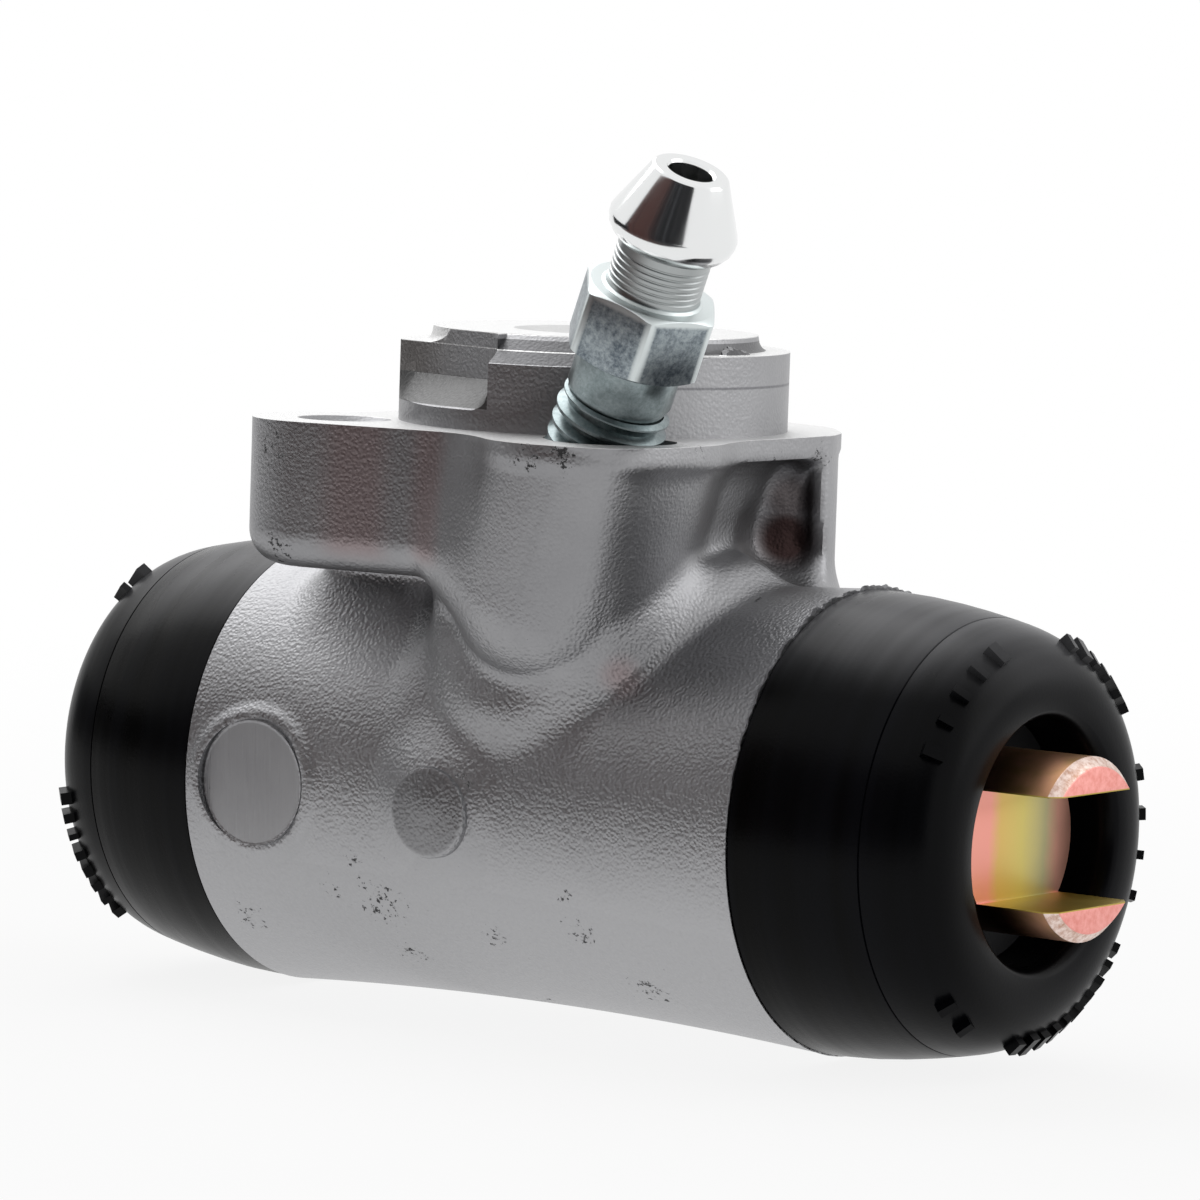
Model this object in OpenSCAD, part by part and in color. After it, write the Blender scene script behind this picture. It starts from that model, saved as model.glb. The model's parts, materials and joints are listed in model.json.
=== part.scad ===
// Drum brake wheel cylinder with two opposed pistons.
// Origin: centre of the pilot boss on the mounting face. +Z leaves the face, +X runs along the bore.

/* [Cylinder] */
// Bore of the cylinder, a 3/4 inch size
bore_d = 19.05; // [17:0.05:20]
// Height of the mounting face above the bore axis
face_h = 22.6; // [21.5:0.1:25]
// Length of the cast barrel between the two boots
barrel_len = 41.3; // [40:0.1:48]
// Diameter of the barrel at its ends, flush with the boots
barrel_d = 28.2; // [27.4:0.1:30]
// How much the barrel narrows at mid length, on the radius
waist = 0.7; // [0.2:0.1:0.9]
// Diameter of the turned neck that each boot is pushed on to
neck_d = 23.4; // [22.6:0.1:24.4]
// Length of each neck beyond the barrel
neck_len = 5.5; // [5:0.1:6.5]

/* [Boot seat] */
// Distance of the bead groove from the barrel's shoulder
bead_at = 1.3; // [1:0.1:1.8]
// Width of the bead groove
bead_w = 2; // [1.4:0.1:2.4]
// Depth of the bead groove in the neck
bead_depth = 0.9; // [0.5:0.1:1.1]

/* [Mounting face] */
// Radius of the round flange behind the pilot boss
flange_r = 14.9; // [14:0.1:16]
// Thickness of the flange where it overhangs
flange_t = 2.2; // [1.8:0.1:3.4]
// Distance of the flange's straight side from the centre
flange_flat = 13; // [12.6:0.1:13.6]
// Radius of the flange's lobe round the bleeder
lobe_r = 7.4; // [7:0.1:7.8]
// How far that lobe stands out over the straight side
lobe_out = 1.4; // [0.6:0.1:1.8]
// Radius of the pilot boss
pilot_r = 12; // [11:0.1:12.4]
// Height of the pilot boss above the mounting face
pilot_h = 5; // [4.4:0.1:6]
// Radius of the raised land on top of the pilot boss
land_r = 9.6; // [9:0.1:10.4]
// Step from the land down to the boss's rim
land_step = 0.5; // [0.3:0.1:0.9]
// Direction of the keying flat on the pilot boss
key_turn = 251.5; // [246:0.5:256]
// Depth of the keying flat
key_depth = 2.1; // [1:0.1:2.4]
// Height at which the keying flat starts
key_low = 2.4; // [2:0.1:3]
// Where the keying flat ends in a step, from its middle
key_end = 3.5; // [2:0.1:5]
// Inner radius of the sloping relief for the bleeder's wrench
relief_r = 9.7; // [9:0.1:11]
// Height of the relief's lower edge
relief_low = 3.5; // [3:0.1:4]
// Direction in which the relief starts
relief_turn = 271; // [264:1:280]
// How far the relief goes round
relief_sweep = 87; // [60:1:100]

/* [Bolt ears] */
// Distance of the two bolt holes from the centre, along the bore
bolt_x = 11.5; // [11:0.1:13]
// Distance of each bolt hole from the centre, across the bore
bolt_y = 10.8; // [10:0.1:12]
// Wall diameter of the M6 bolt holes
bolt_d = 5; // [4.2:0.1:6]
// Radius of each ear
ear_r = 5.65; // [5:0.05:6.4]
// Where an ear's web ends inside the pedestal, along the bore
web_x = 1.2; // [0:0.1:3]
// Where an ear's web ends, across the bore
web_y = 9.4; // [8.6:0.1:9.8]
// Half the width of the web at its end
web_r = 5.55; // [5:0.05:5.8]
// Height of each ear under the mounting face
ear_h = 9; // [8:0.1:9.6]
// Rounding of an ear's lower edge
ear_round = 2.2; // [1:0.1:2.6]

/* [Pedestal] */
// Front wall of the pedestal, from the bore axis
pedestal_front = 11.8; // [11:0.1:12.4]
// Back wall of the pedestal, from the bore axis
pedestal_back = 13.2; // [12.4:0.1:13.4]
// Left wall of the pedestal, from the centre
pedestal_left = 4.5; // [3.6:0.1:6]
// Right wall of the pedestal in the pocket under the flange, from the centre
pocket_x = 10.4; // [9.8:0.1:11]
// Rounding of the pedestal's upright corners
pedestal_round = 1.7; // [1:0.1:3]
// Place of the pocket's rear web, across the bore
rear_web_y = 4.8; // [4:0.1:6]
// Reach of the block under the ears, from the centre
block_left = 14.8; // [14:0.1:16]
// Half the width of that block
block_y = 8.2; // [7.4:0.1:8.6]

/* [Saddle] */
// Radius of the raised band round the barrel
saddle_r = 16.2; // [15.6:0.1:17]
// Front and back of the band at the height of the bore axis
saddle_y = 12.7; // [12.2:0.1:13]
// Slope of the band's front and back
saddle_draft = 9.6; // [7:0.2:11]
// Left end of the band, from the centre
saddle_left = 4.6; // [3.6:0.1:6]
// Right end of the band, from the centre
saddle_right = 12.8; // [12:0.1:13]
// Height of the band's lowest point above the bore axis
saddle_low = 4.2; // [3.4:0.1:5]
// Fillet between the band's right end and the barrel
foot_fillet = 3; // [2:0.1:4]

/* [Inlet] */
// Wall diameter of the M10 inlet thread
inlet_d = 9; // [8:0.1:9.6]
// Depth of the inlet thread below the boss's top
inlet_depth = 11; // [9:0.5:12]
// Diameter of the spot face round the inlet
spot_d = 13; // [12:0.1:14]
// Depth of the spot face
spot_depth = 0.4; // [0.2:0.1:0.8]
// Diameter of the fluid passages into the bore
passage_d = 2.5; // [1.6:0.1:2.8]

/* [Bleeder] */
// Place of the bleeder on the mounting face, along the bore
bleeder_x = 8.7; // [8.2:0.1:9.2]
// Place of the bleeder on the mounting face, towards the front
bleeder_y = 11.2; // [10.8:0.1:12]
// Lean of the bleeder away from the face's normal
bleeder_lean = 25; // [20:1:27]
// Plan direction of the lean
bleeder_turn = -16.4; // [-24:0.2:-8]
// Outside diameter of the M7 thread
thread_d = 6.9; // [6:0.1:7.4]
// Radial clearance of the thread in the casting
thread_gap = 0.05; // [0.02:0.01:0.09]
// Length of thread that stands out of the face
thread_out = 3; // [2:0.1:4]
// Length of thread inside the casting
thread_in = 11.5; // [10:0.1:12]
// Diameter of the plain shank under the hexagon
shank_d = 6.4; // [5.6:0.1:6.8]
// Length of the plain shank
shank_len = 2.7; // [2:0.1:3.4]
// Hexagon across flats
hex_af = 7.7; // [7.4:0.1:9]
// Height of the hexagon
hex_h = 4.3; // [3.6:0.1:5.4]
// Turn of the hexagon about the screw's axis
hex_turn = 27; // [0:1:60]
// Diameter of the neck above the hexagon
hose_neck_d = 5.7; // [5:0.1:6.2]
// Length of the neck
hose_neck_len = 3; // [2.4:0.1:4]
// Largest diameter of the hose cone
cone_d = 7.8; // [7:0.1:8.6]
// Length of the hose cone
cone_len = 5; // [4:0.1:6]
// Diameter of the cone's rim
rim_d = 4.7; // [4.2:0.1:5.2]
// Diameter of the bleed hole
bleed_d = 2.7; // [1.8:0.1:3]
// Radius of the boss cast round the bleeder
bleed_boss_r = 6.5; // [6:0.1:7]
// Distance of that boss's flat right side from the centre
bleed_boss_flat = 12.4; // [12:0.1:13]
// Length of that boss below the mounting face
bleed_boss_len = 10; // [9:0.5:11]

/* [Pistons] */
// Radial clearance of a piston in the bore
piston_gap = 0.03; // [0.02:0.01:0.09]
// Length of a piston's running part
piston_len = 16; // [15:0.1:17]
// Depth of a piston's shoulder inside the end of the bore
piston_sunk = 4.15; // [3:0.05:5]
// Reach of a piston's nose beyond the end of the bore
nose_out = 11.05; // [10.5:0.05:13]
// Diameter of the nose
nose_d = 11; // [10:0.1:12]
// Chamfer round the tip of the nose
tip_chamfer = 0.6; // [0.3:0.1:0.9]
// Width of the slot for the brake shoe
slot_w = 6.2; // [5:0.1:6.6]
// Depth of that slot
slot_depth = 5.2; // [4.6:0.1:6]
// Width of the groove for the boot's lip
lip_groove_w = 1.8; // [1.4:0.1:2]
// Depth of that groove
lip_groove_depth = 0.6; // [0.3:0.1:0.8]
// Distance of that groove from the end of the bore
lip_groove_out = 1.05; // [0.8:0.05:1.4]

/* [Cups] */
// Width of the cup's groove in the piston
cup_w = 4; // [3:0.1:5]
// Distance of the groove from the piston's inner end
cup_at = 2; // [1.6:0.1:2.6]
// Radius of the groove's floor
cup_floor_r = 6.4; // [6.2:0.1:7]
// Clearance of the cup in its groove
cup_gap = 0.1; // [0.05:0.01:0.2]
// Thickness of the cup's lip
cup_lip = 0.9; // [0.6:0.1:1.2]

/* [Spring] */
// Wire diameter of the return spring
wire_d = 0.9; // [0.6:0.1:1]
// Diameter at the middle of the wire
spring_d = 8.6; // [7.8:0.1:9]
// Turns of the spring
spring_turns = 6; // [4:0.5:8]
// Depth of the spring's seat in each piston
spring_seat = 2.2; // [1:0.1:3]

/* [Boots] */
// Length of the straight skirt, up to the mould line
skirt_len = 8.7; // [8:0.1:9]
// Radius lost along the skirt
skirt_taper = 1; // [0.4:0.1:1.4]
// Length of the domed end beyond the mould line
dome_len = 4.5; // [4:0.1:5]
// Radius at which the dome turns inwards
dome_top_r = 8.9; // [8.6:0.1:9.4]
// Radius of the mouth
mouth_r = 7.4; // [7:0.1:7.8]
// Thickness of the domed wall
boot_wall = 1.8; // [1.4:0.1:2]
// Clearance of the boot on the neck and the nose
boot_gap = 0.05; // [0.02:0.01:0.1]
// Width of the thin mould line round the boot
mould_line = 0.3; // [0.2:0.05:0.4]

/* [Cast details] */
// Diameter of the flat ejector pad on the barrel
pad_d = 8; // [7:0.1:9]
// Distance of the pad's middle from the boot
pad_in = 5.05; // [4.6:0.05:6]
// How far the pad is sunk below the barrel at its middle
pad_sink = 0.2; // [0.1:0.05:0.4]
// Diameter of the small side boss
button_d = 5.6; // [5:0.1:6.4]
// Place of the side boss along the barrel
button_x = 1.4; // [0:0.1:3]
// How far the side boss stands out of the barrel
button_h = 0.8; // [0.4:0.1:1.2]

/* [Hidden] */
$fn = 96;
over = 1;
bore_r = bore_d / 2;
barrel_r = barrel_d / 2;
waist_r = barrel_r - waist;
neck_r = neck_d / 2;
seam_x = barrel_len / 2;
end_x = seam_x + neck_len;
waist_arc_r = (seam_x * seam_x + waist * waist) / (2 * waist);
thread_r = thread_d / 2;
piston_r = bore_r - piston_gap;
piston_out = end_x - piston_sunk;
piston_in = piston_out - piston_len;
nose_reach = end_x + nose_out;
lip_groove_at = end_x + lip_groove_out;
nose_r = nose_d / 2;
lip_r = nose_r - lip_groove_depth;
shank_at = thread_out;
hex_at = shank_at + shank_len;
hose_neck_at = hex_at + hex_h;
cone_at = hose_neck_at + hose_neck_len;
rim_at = cone_at + cone_len;
seat_len = 2;
pad_x = seam_x - pad_in;
pad_face = waist_r + waist_arc_r - sqrt(waist_arc_r * waist_arc_r - pad_x * pad_x) - pad_sink;

// Points of an arc round (cx, cy), in plan or in section
function arc(cx, cy, r, from, to, steps = 12) =
    [for (i = [0 : steps]) let (a = from + (to - from) * i / steps) [cx + r * cos(a), cy + r * sin(a)]];

// Turns a section drawn as (radius, length) about the bore's axis
module along_bore() {
    translate([0, 0, -face_h])
        rotate([0, 90, 0])
            rotate_extrude()
                children();
}

// Puts a shape drawn along +Z on to the bleeder's axis
module on_bleeder() {
    translate([bleeder_x, -bleeder_y, 0])
        rotate([0, 0, bleeder_turn])
            rotate([0, bleeder_lean, 0])
                children();
}

// Casting: waisted barrel with a turned neck at each end
module barrel() {
    along_bore()
        difference() {
            union() {
                translate([0, -seam_x])
                    square([barrel_r, barrel_len]);
                translate([0, -end_x])
                    square([neck_r, 2 * end_x]);
            }
            translate([waist_r + waist_arc_r, 0])
                circle(r = waist_arc_r, $fn = 400);
            for (end = [-1, 1])
                translate([neck_r - bead_depth, end * (seam_x + bead_at + bead_w / 2) - bead_w / 2])
                    square([bead_depth + over, bead_w]);
        }
}

// Casting: pedestal with rounded upright corners
module pedestal() {
    corner = pedestal_round;
    front = pedestal_front - corner;
    back = pedestal_back - corner;
    left = pedestal_left - corner;
    right = pocket_x - corner;
    translate([0, 0, -face_h])
        linear_extrude(face_h)
            polygon(concat(
                arc(right, -front, corner, -90, 0),
                arc(right, back, corner, 0, 90),
                arc(-left, back, corner, 90, 180),
                arc(-left, -front, corner, 180, 270)));
}

// Casting: web at the back of the pocket, and the block that carries the ears
module webs() {
    set_back = 0.4;
    edge_y = sqrt(flange_r * flange_r - flange_flat * flange_flat) - set_back;
    translate([0, 0, -face_h])
        linear_extrude(face_h)
            polygon([
                [flange_flat, rear_web_y],
                [flange_flat, edge_y],
                [pocket_x - pedestal_round, pedestal_back],
                [0, pedestal_back],
                [0, pedestal_front],
                [pocket_x - pedestal_round, rear_web_y + pedestal_round]]);
    translate([-block_left, -block_y, -face_h])
        cube([block_left, 2 * block_y, face_h]);
}

// Casting: raised band round the barrel, pointed at its lower edge and filleted on the right
module saddle() {
    tip_x = 2.2;
    side_x = 10.2;
    side_z = 8.6;
    left_z = 12.4;
    bend_x = 3.2;
    bend_z = 8.2;
    right = saddle_right + foot_fillet;
    right_z = 15;
    top_y = saddle_y + saddle_r * tan(saddle_draft);
    intersection() {
        along_bore()
            difference() {
                translate([0, -saddle_left])
                    square([saddle_r, saddle_left + right]);
                translate([barrel_r + foot_fillet, right])
                    circle(r = foot_fillet);
            }
        translate([-saddle_left, 0, -face_h])
            rotate([90, 0, 90])
                linear_extrude(saddle_left + right)
                    polygon([[-saddle_y, 0], [saddle_y, 0], [top_y, saddle_r], [-top_y, saddle_r]]);
        translate([0, top_y, -face_h])
            rotate([90, 0, 0])
                linear_extrude(2 * top_y)
                    polygon([
                        [-saddle_left, saddle_r],
                        [-saddle_left, left_z],
                        [-bend_x, bend_z],
                        [tip_x, saddle_low],
                        [side_x, side_z],
                        [right, right_z],
                        [right, saddle_r]]);
    }
}

// Casting: round flange with one straight side and a lobe round the bleeder
module flange() {
    translate([0, 0, -flange_t]) {
        intersection() {
            cylinder(r = flange_r, h = flange_t);
            translate([-flange_r, -flange_r, 0])
                cube([flange_r + flange_flat, 2 * flange_r, flange_t]);
        }
        intersection() {
            translate([bleeder_x, -bleeder_y, 0])
                cylinder(r = lobe_r, h = flange_t);
            translate([0, -2 * flange_r, 0])
                cube([flange_flat + lobe_out, 2 * flange_r, flange_t]);
        }
    }
}

// Casting: upright post with a rounded lower edge
module post(r) {
    translate([0, 0, -ear_h])
        rotate_extrude()
            union() {
                translate([0, ear_round])
                    square([r, ear_h - ear_round]);
                square([r - ear_round, ear_h]);
                translate([r - ear_round, ear_round])
                    circle(r = ear_round);
            }
}

// Casting: bolt ear and the web that ties it to the pedestal, stepped along the rounded lower edge
module ear(side) {
    run = [bolt_x - web_x, web_y - bolt_y];
    reach = norm(run);
    steps = [0, 45, 90];
    set_back = 0.15;
    translate([-bolt_x, side * bolt_y, 0])
        post(ear_r);
    translate([-web_x, side * web_y, 0])
        post(web_r);
    translate([-bolt_x, side * bolt_y, 0])
        rotate([0, 0, side * atan2(run[1], run[0])])
            for (a = steps) {
                inset = set_back + ear_round * (1 - sin(a));
                rise = set_back + ear_round * (1 - cos(a));
                translate([0, 0, -ear_h + rise])
                    linear_extrude(ear_h - rise)
                        polygon([
                            [0, -ear_r + inset],
                            [reach, -web_r + inset],
                            [reach, web_r - inset],
                            [0, ear_r - inset]]);
            }
}

// Casting: boss round the bleeder, closed below by a half sphere
module bleeder_boss() {
    intersection() {
        on_bleeder()
            translate([0, 0, -bleed_boss_len])
                union() {
                    cylinder(r = bleed_boss_r, h = bleed_boss_len + bleed_boss_r);
                    sphere(r = bleed_boss_r);
                }
        translate([-flange_r, -2 * flange_r, -face_h])
            cube([flange_r + bleed_boss_flat, 2 * flange_r, face_h]);
    }
}

// Casting: pilot boss with a raised land, a keying flat and a sloping relief for the bleeder's wrench
module pilot_boss() {
    key_slope = 1.1;
    relief_out = pilot_r + over;
    relief_foot = pilot_h - (pilot_h - relief_low) * (relief_out - relief_r) / (pilot_r - relief_r);
    difference() {
        rotate_extrude()
            union() {
                square([pilot_r, pilot_h - land_step]);
                square([land_r, pilot_h]);
            }
        rotate([0, 0, key_turn])
            rotate([90, 0, 0])
                translate([0, 0, -key_end])
                    linear_extrude(key_end + pilot_r)
                        polygon([
                            [pilot_r - key_depth, pilot_h + over],
                            [pilot_r - key_depth, key_low],
                            [pilot_r - key_depth + key_slope, key_low - key_slope],
                            [pilot_r + over, key_low - key_slope],
                            [pilot_r + over, pilot_h + over]]);
        rotate([0, 0, relief_turn])
            rotate_extrude(angle = relief_sweep)
                polygon([
                    [relief_r, pilot_h],
                    [relief_out, relief_foot],
                    [relief_out, pilot_h + over],
                    [relief_r, pilot_h + over]]);
    }
}

// Casting: flat pad left by the mould's ejector, and a small round side boss
module cast_details() {
    button_foot_d = 3 * button_d;
    translate([-pad_x, 0, -face_h])
        rotate([90, 0, 0])
            cylinder(d = pad_d, h = pad_face);
    translate([-button_x, 0, -face_h])
        rotate([90, 0, 0])
            union() {
                cylinder(d = button_d, h = waist_r + button_h);
                cylinder(d1 = button_foot_d, d2 = button_d, h = waist_r + button_h / 2);
            }
}

// Bores, threaded holes, fluid passages and the flat of the ejector pad
module casting_holes() {
    along_bore()
        translate([0, -end_x - over])
            square([bore_r, 2 * (end_x + over)]);
    translate([-pad_x, -pad_face, -face_h])
        rotate([90, 0, 0])
            cylinder(d = pad_d, h = barrel_r);
    translate([0, 0, pilot_h - inlet_depth])
        cylinder(d = inlet_d, h = inlet_depth + over);
    translate([0, 0, pilot_h - spot_depth])
        cylinder(d = spot_d, h = spot_depth + over);
    translate([0, 0, pilot_h - inlet_depth - inlet_d / 2])
        cylinder(d1 = 0, d2 = inlet_d, h = inlet_d / 2);
    translate([0, 0, -face_h])
        cylinder(d = passage_d, h = face_h + pilot_h - inlet_depth);
    for (side = [-1, 1])
        translate([-bolt_x, side * bolt_y, -ear_h - over])
            cylinder(d = bolt_d, h = ear_h + 2 * over);
    on_bleeder() {
        translate([0, 0, -thread_in])
            cylinder(r = thread_r + thread_gap, h = thread_in + thread_d);
        translate([0, 0, -thread_in - seat_len])
            cylinder(d1 = passage_d, d2 = 2 * (thread_r + thread_gap), h = seat_len);
        translate([0, 0, -face_h])
            cylinder(d = passage_d, h = face_h - thread_in);
    }
}

// Die-cast body, machined on the mounting face, the pilot boss and the bores
module body() {
    color("darkgray")
        difference() {
            union() {
                barrel();
                saddle();
                pedestal();
                webs();
                flange();
                for (side = [-1, 1])
                    ear(side);
                bleeder_boss();
                pilot_boss();
                cast_details();
            }
            casting_holes();
        }
}

// Bleeder screw: seat, thread, shank, hexagon, neck and hose cone, drilled through
module bleeder_screw() {
    ridge_h = 0.8;
    seat_gap = 0.1;
    lead_len = 1;
    lead_step = 0.6;
    cross_d = 1.6;
    hex_bevel = 0.5;
    hex_round = hex_af / cos(30) - hex_bevel;
    drill_low = -thread_in + seat_len;
    color("gainsboro")
        on_bleeder()
            difference() {
                union() {
                    translate([0, 0, -thread_in + seat_gap])
                        cylinder(r1 = thread_r - lead_step, r2 = thread_r, h = lead_len);
                    translate([0, 0, -thread_in + seat_gap + lead_len])
                        cylinder(r = thread_r, h = thread_in - seat_gap - lead_len + thread_out);
                    translate([0, 0, shank_at])
                        cylinder(d = shank_d, h = shank_len);
                    translate([0, 0, hex_at])
                        intersection() {
                            rotate([0, 0, hex_turn])
                                cylinder(d = hex_af / cos(30), h = hex_h, $fn = 6);
                            cylinder(d1 = hex_round + 2 * hex_h, d2 = hex_round, h = hex_h);
                        }
                    translate([0, 0, hose_neck_at])
                        cylinder(d = hose_neck_d, h = hose_neck_len);
                    translate([0, 0, cone_at])
                        cylinder(d1 = hose_neck_d, d2 = cone_d, h = ridge_h);
                    translate([0, 0, cone_at + ridge_h])
                        cylinder(d1 = cone_d, d2 = rim_d, h = cone_len - ridge_h);
                }
                translate([0, 0, drill_low])
                    cylinder(d = bleed_d, h = rim_at - drill_low + over);
                translate([0, 0, drill_low + cross_d])
                    rotate([90, 0, 0])
                        cylinder(d = cross_d, h = thread_d, center = true);
            }
}

// Section of a piston as (radius, distance from mid length)
module piston_section() {
    difference() {
        union() {
            translate([0, piston_in])
                square([piston_r, piston_out - piston_in]);
            translate([0, piston_out])
                square([nose_r, nose_reach - piston_out - tip_chamfer]);
            polygon([
                [0, nose_reach - tip_chamfer],
                [nose_r, nose_reach - tip_chamfer],
                [nose_r - tip_chamfer, nose_reach],
                [0, nose_reach]]);
        }
        translate([cup_floor_r, piston_in + cup_at])
            square([bore_r, cup_w]);
        translate([lip_r, lip_groove_at])
            square([nose_r, lip_groove_w]);
        translate([0, piston_in - over])
            square([(spring_d + wire_d) / 2 + cup_gap, spring_seat + over]);
    }
}

// Steel piston with a cup groove, a spring seat and a slotted nose
module piston() {
    color("goldenrod")
        difference() {
            along_bore()
                piston_section();
            translate([nose_reach - slot_depth, -nose_r - over, -face_h - slot_w / 2])
                cube([slot_depth + over, nose_d + 2 * over, slot_w]);
        }
}

module piston_right() {
    piston();
}

module piston_left() {
    mirror([1, 0, 0])
        piston();
}

// Rubber cup: a ring on the groove's floor with a lip that opens towards the fluid
module piston_cup() {
    low = piston_in + cup_at + cup_gap;
    high = piston_in + cup_at + cup_w - cup_gap;
    floor_r = cup_floor_r + cup_gap;
    lip_reach = bore_r - piston_gap;
    color("black")
        along_bore()
            polygon([
                [floor_r, low],
                [floor_r + cup_lip, low],
                [(floor_r + lip_reach) / 2, (low + high) / 2],
                [lip_reach - cup_lip / 2, low],
                [lip_reach, low],
                [lip_reach, low + cup_lip],
                [lip_reach - cup_lip / 2, high],
                [floor_r, high]]);
}

module piston_cup_right() {
    piston_cup();
}

module piston_cup_left() {
    mirror([1, 0, 0])
        piston_cup();
}

// Section of a boot as (radius, distance from mid length)
module boot_section() {
    inner_r = neck_r + boot_gap;
    skirt_end = seam_x + skirt_len;
    dome_r = barrel_r - skirt_taper;
    front = skirt_end + dome_len;
    dome = [for (a = [0 : 9 : 90])
        [dome_top_r + (dome_r - dome_top_r) * cos(a), skirt_end + dome_len * sin(a)]];
    cavity = [for (a = [90 : -9 : 0])
        [dome_top_r + (dome_r - boot_wall - dome_top_r) * cos(a),
         skirt_end + (dome_len - boot_wall) * sin(a)]];
    roll = (dome_top_r - mouth_r) / 2;
    lip_low = lip_groove_at + boot_gap;
    lip_high = lip_groove_at + lip_groove_w - boot_gap;
    bead_low = seam_x + bead_at + boot_gap;
    bead_high = seam_x + bead_at + bead_w - boot_gap;
    bead_r = neck_r - bead_depth + boot_gap;
    difference() {
        polygon(concat(
            [[inner_r, seam_x], [barrel_r, seam_x]],
            dome,
            arc(mouth_r + roll, front - roll, roll, 90, 180, 6),
            [[mouth_r, lip_high + roll],
             [nose_r + boot_gap, lip_high],
             [lip_r + boot_gap, lip_high],
             [lip_r + boot_gap, lip_low],
             [mouth_r, lip_low],
             [dome_top_r, lip_high]],
            cavity,
            [[inner_r, end_x + boot_gap],
             [inner_r, bead_high],
             [bead_r, bead_high],
             [bead_r, bead_low],
             [inner_r, bead_low]]));
        translate([dome_r, skirt_end])
            circle(d = mould_line, $fn = 24);
    }
}

// Rubber boot: bead in the neck's groove, straight skirt, domed end and a lip on the piston's nose
module boot() {
    color("black")
        along_bore()
            boot_section();
}

module boot_right() {
    boot();
}

module boot_left() {
    mirror([1, 0, 0])
        boot();
}

// Return spring: a round wire swept along a helix between the two pistons' seats
module return_spring() {
    sides = 8;
    steps = 16;
    seat_gap = 0.05;
    half = piston_in + spring_seat - wire_d / 2 - seat_gap;
    rings = round(spring_turns * steps);
    points = [for (i = [0 : rings], j = [0 : sides - 1])
        let (turn = 360 * spring_turns * i / rings,
             side = 360 * j / sides,
             reach = spring_d / 2 + wire_d / 2 * cos(side))
        [-half + 2 * half * i / rings + wire_d / 2 * sin(side), reach * cos(turn), reach * sin(turn)]];
    walls = [for (i = [0 : rings - 1], j = [0 : sides - 1])
        let (next = (j + 1) % sides)
        [i * sides + j, i * sides + next, (i + 1) * sides + next, (i + 1) * sides + j]];
    ends = [[for (j = [sides - 1 : -1 : 0]) j], [for (j = [0 : sides - 1]) rings * sides + j]];
    color("dimgray")
        translate([0, 0, -face_h])
            polyhedron(points, concat(walls, ends), convexity = 10);
}

body();
bleeder_screw();
boot_left();
boot_right();
piston_left();
piston_right();
piston_cup_left();
piston_cup_right();
return_spring();
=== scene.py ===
"""Looks of a drum brake wheel cylinder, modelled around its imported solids."""

import json
import math

import bmesh
import bpy
import numpy as np
from bpy.props import FloatProperty, FloatVectorProperty, PointerProperty
from mathutils import Matrix, Vector


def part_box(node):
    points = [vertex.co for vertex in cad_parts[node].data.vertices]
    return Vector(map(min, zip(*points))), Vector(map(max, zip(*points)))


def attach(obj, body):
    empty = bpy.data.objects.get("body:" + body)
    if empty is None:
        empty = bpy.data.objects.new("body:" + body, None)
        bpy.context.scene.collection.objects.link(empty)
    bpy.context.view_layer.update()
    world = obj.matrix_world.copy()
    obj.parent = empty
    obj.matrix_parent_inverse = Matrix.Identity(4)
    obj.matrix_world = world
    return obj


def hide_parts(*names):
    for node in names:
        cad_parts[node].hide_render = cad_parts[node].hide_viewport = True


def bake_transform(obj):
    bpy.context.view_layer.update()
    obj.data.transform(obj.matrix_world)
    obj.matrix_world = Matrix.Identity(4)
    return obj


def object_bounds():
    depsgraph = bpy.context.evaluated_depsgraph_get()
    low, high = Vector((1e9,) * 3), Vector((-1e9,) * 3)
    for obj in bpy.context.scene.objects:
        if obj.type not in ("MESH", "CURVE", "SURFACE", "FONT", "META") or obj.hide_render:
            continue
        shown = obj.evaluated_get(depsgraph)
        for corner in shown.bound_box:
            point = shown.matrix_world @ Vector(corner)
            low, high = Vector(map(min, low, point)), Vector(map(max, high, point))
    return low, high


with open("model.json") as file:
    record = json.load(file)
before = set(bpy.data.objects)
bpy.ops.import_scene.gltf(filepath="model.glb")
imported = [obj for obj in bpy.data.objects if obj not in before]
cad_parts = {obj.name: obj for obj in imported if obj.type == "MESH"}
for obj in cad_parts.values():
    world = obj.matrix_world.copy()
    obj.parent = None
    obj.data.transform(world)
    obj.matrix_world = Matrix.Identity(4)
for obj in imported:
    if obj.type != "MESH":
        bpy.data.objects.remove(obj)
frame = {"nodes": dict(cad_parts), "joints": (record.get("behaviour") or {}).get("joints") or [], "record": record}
CAD_LOW, CAD_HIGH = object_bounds()

bl_info = {
    "name": "Wheel cylinder",
    "version": (1, 0, 0),
    "blender": (4, 5, 0),
    "location": "View3D > Sidebar > Wheel cylinder",
    "description": "Builds the finished pieces of a drum brake wheel cylinder and its stage",
    "category": "Mesh",
}

MM = 0.001
MOUNTS = {mount["name"]: mount for mount in frame["record"]["mounts"]}
JOINTS = {joint["name"]: joint for joint in frame["joints"]}

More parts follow.
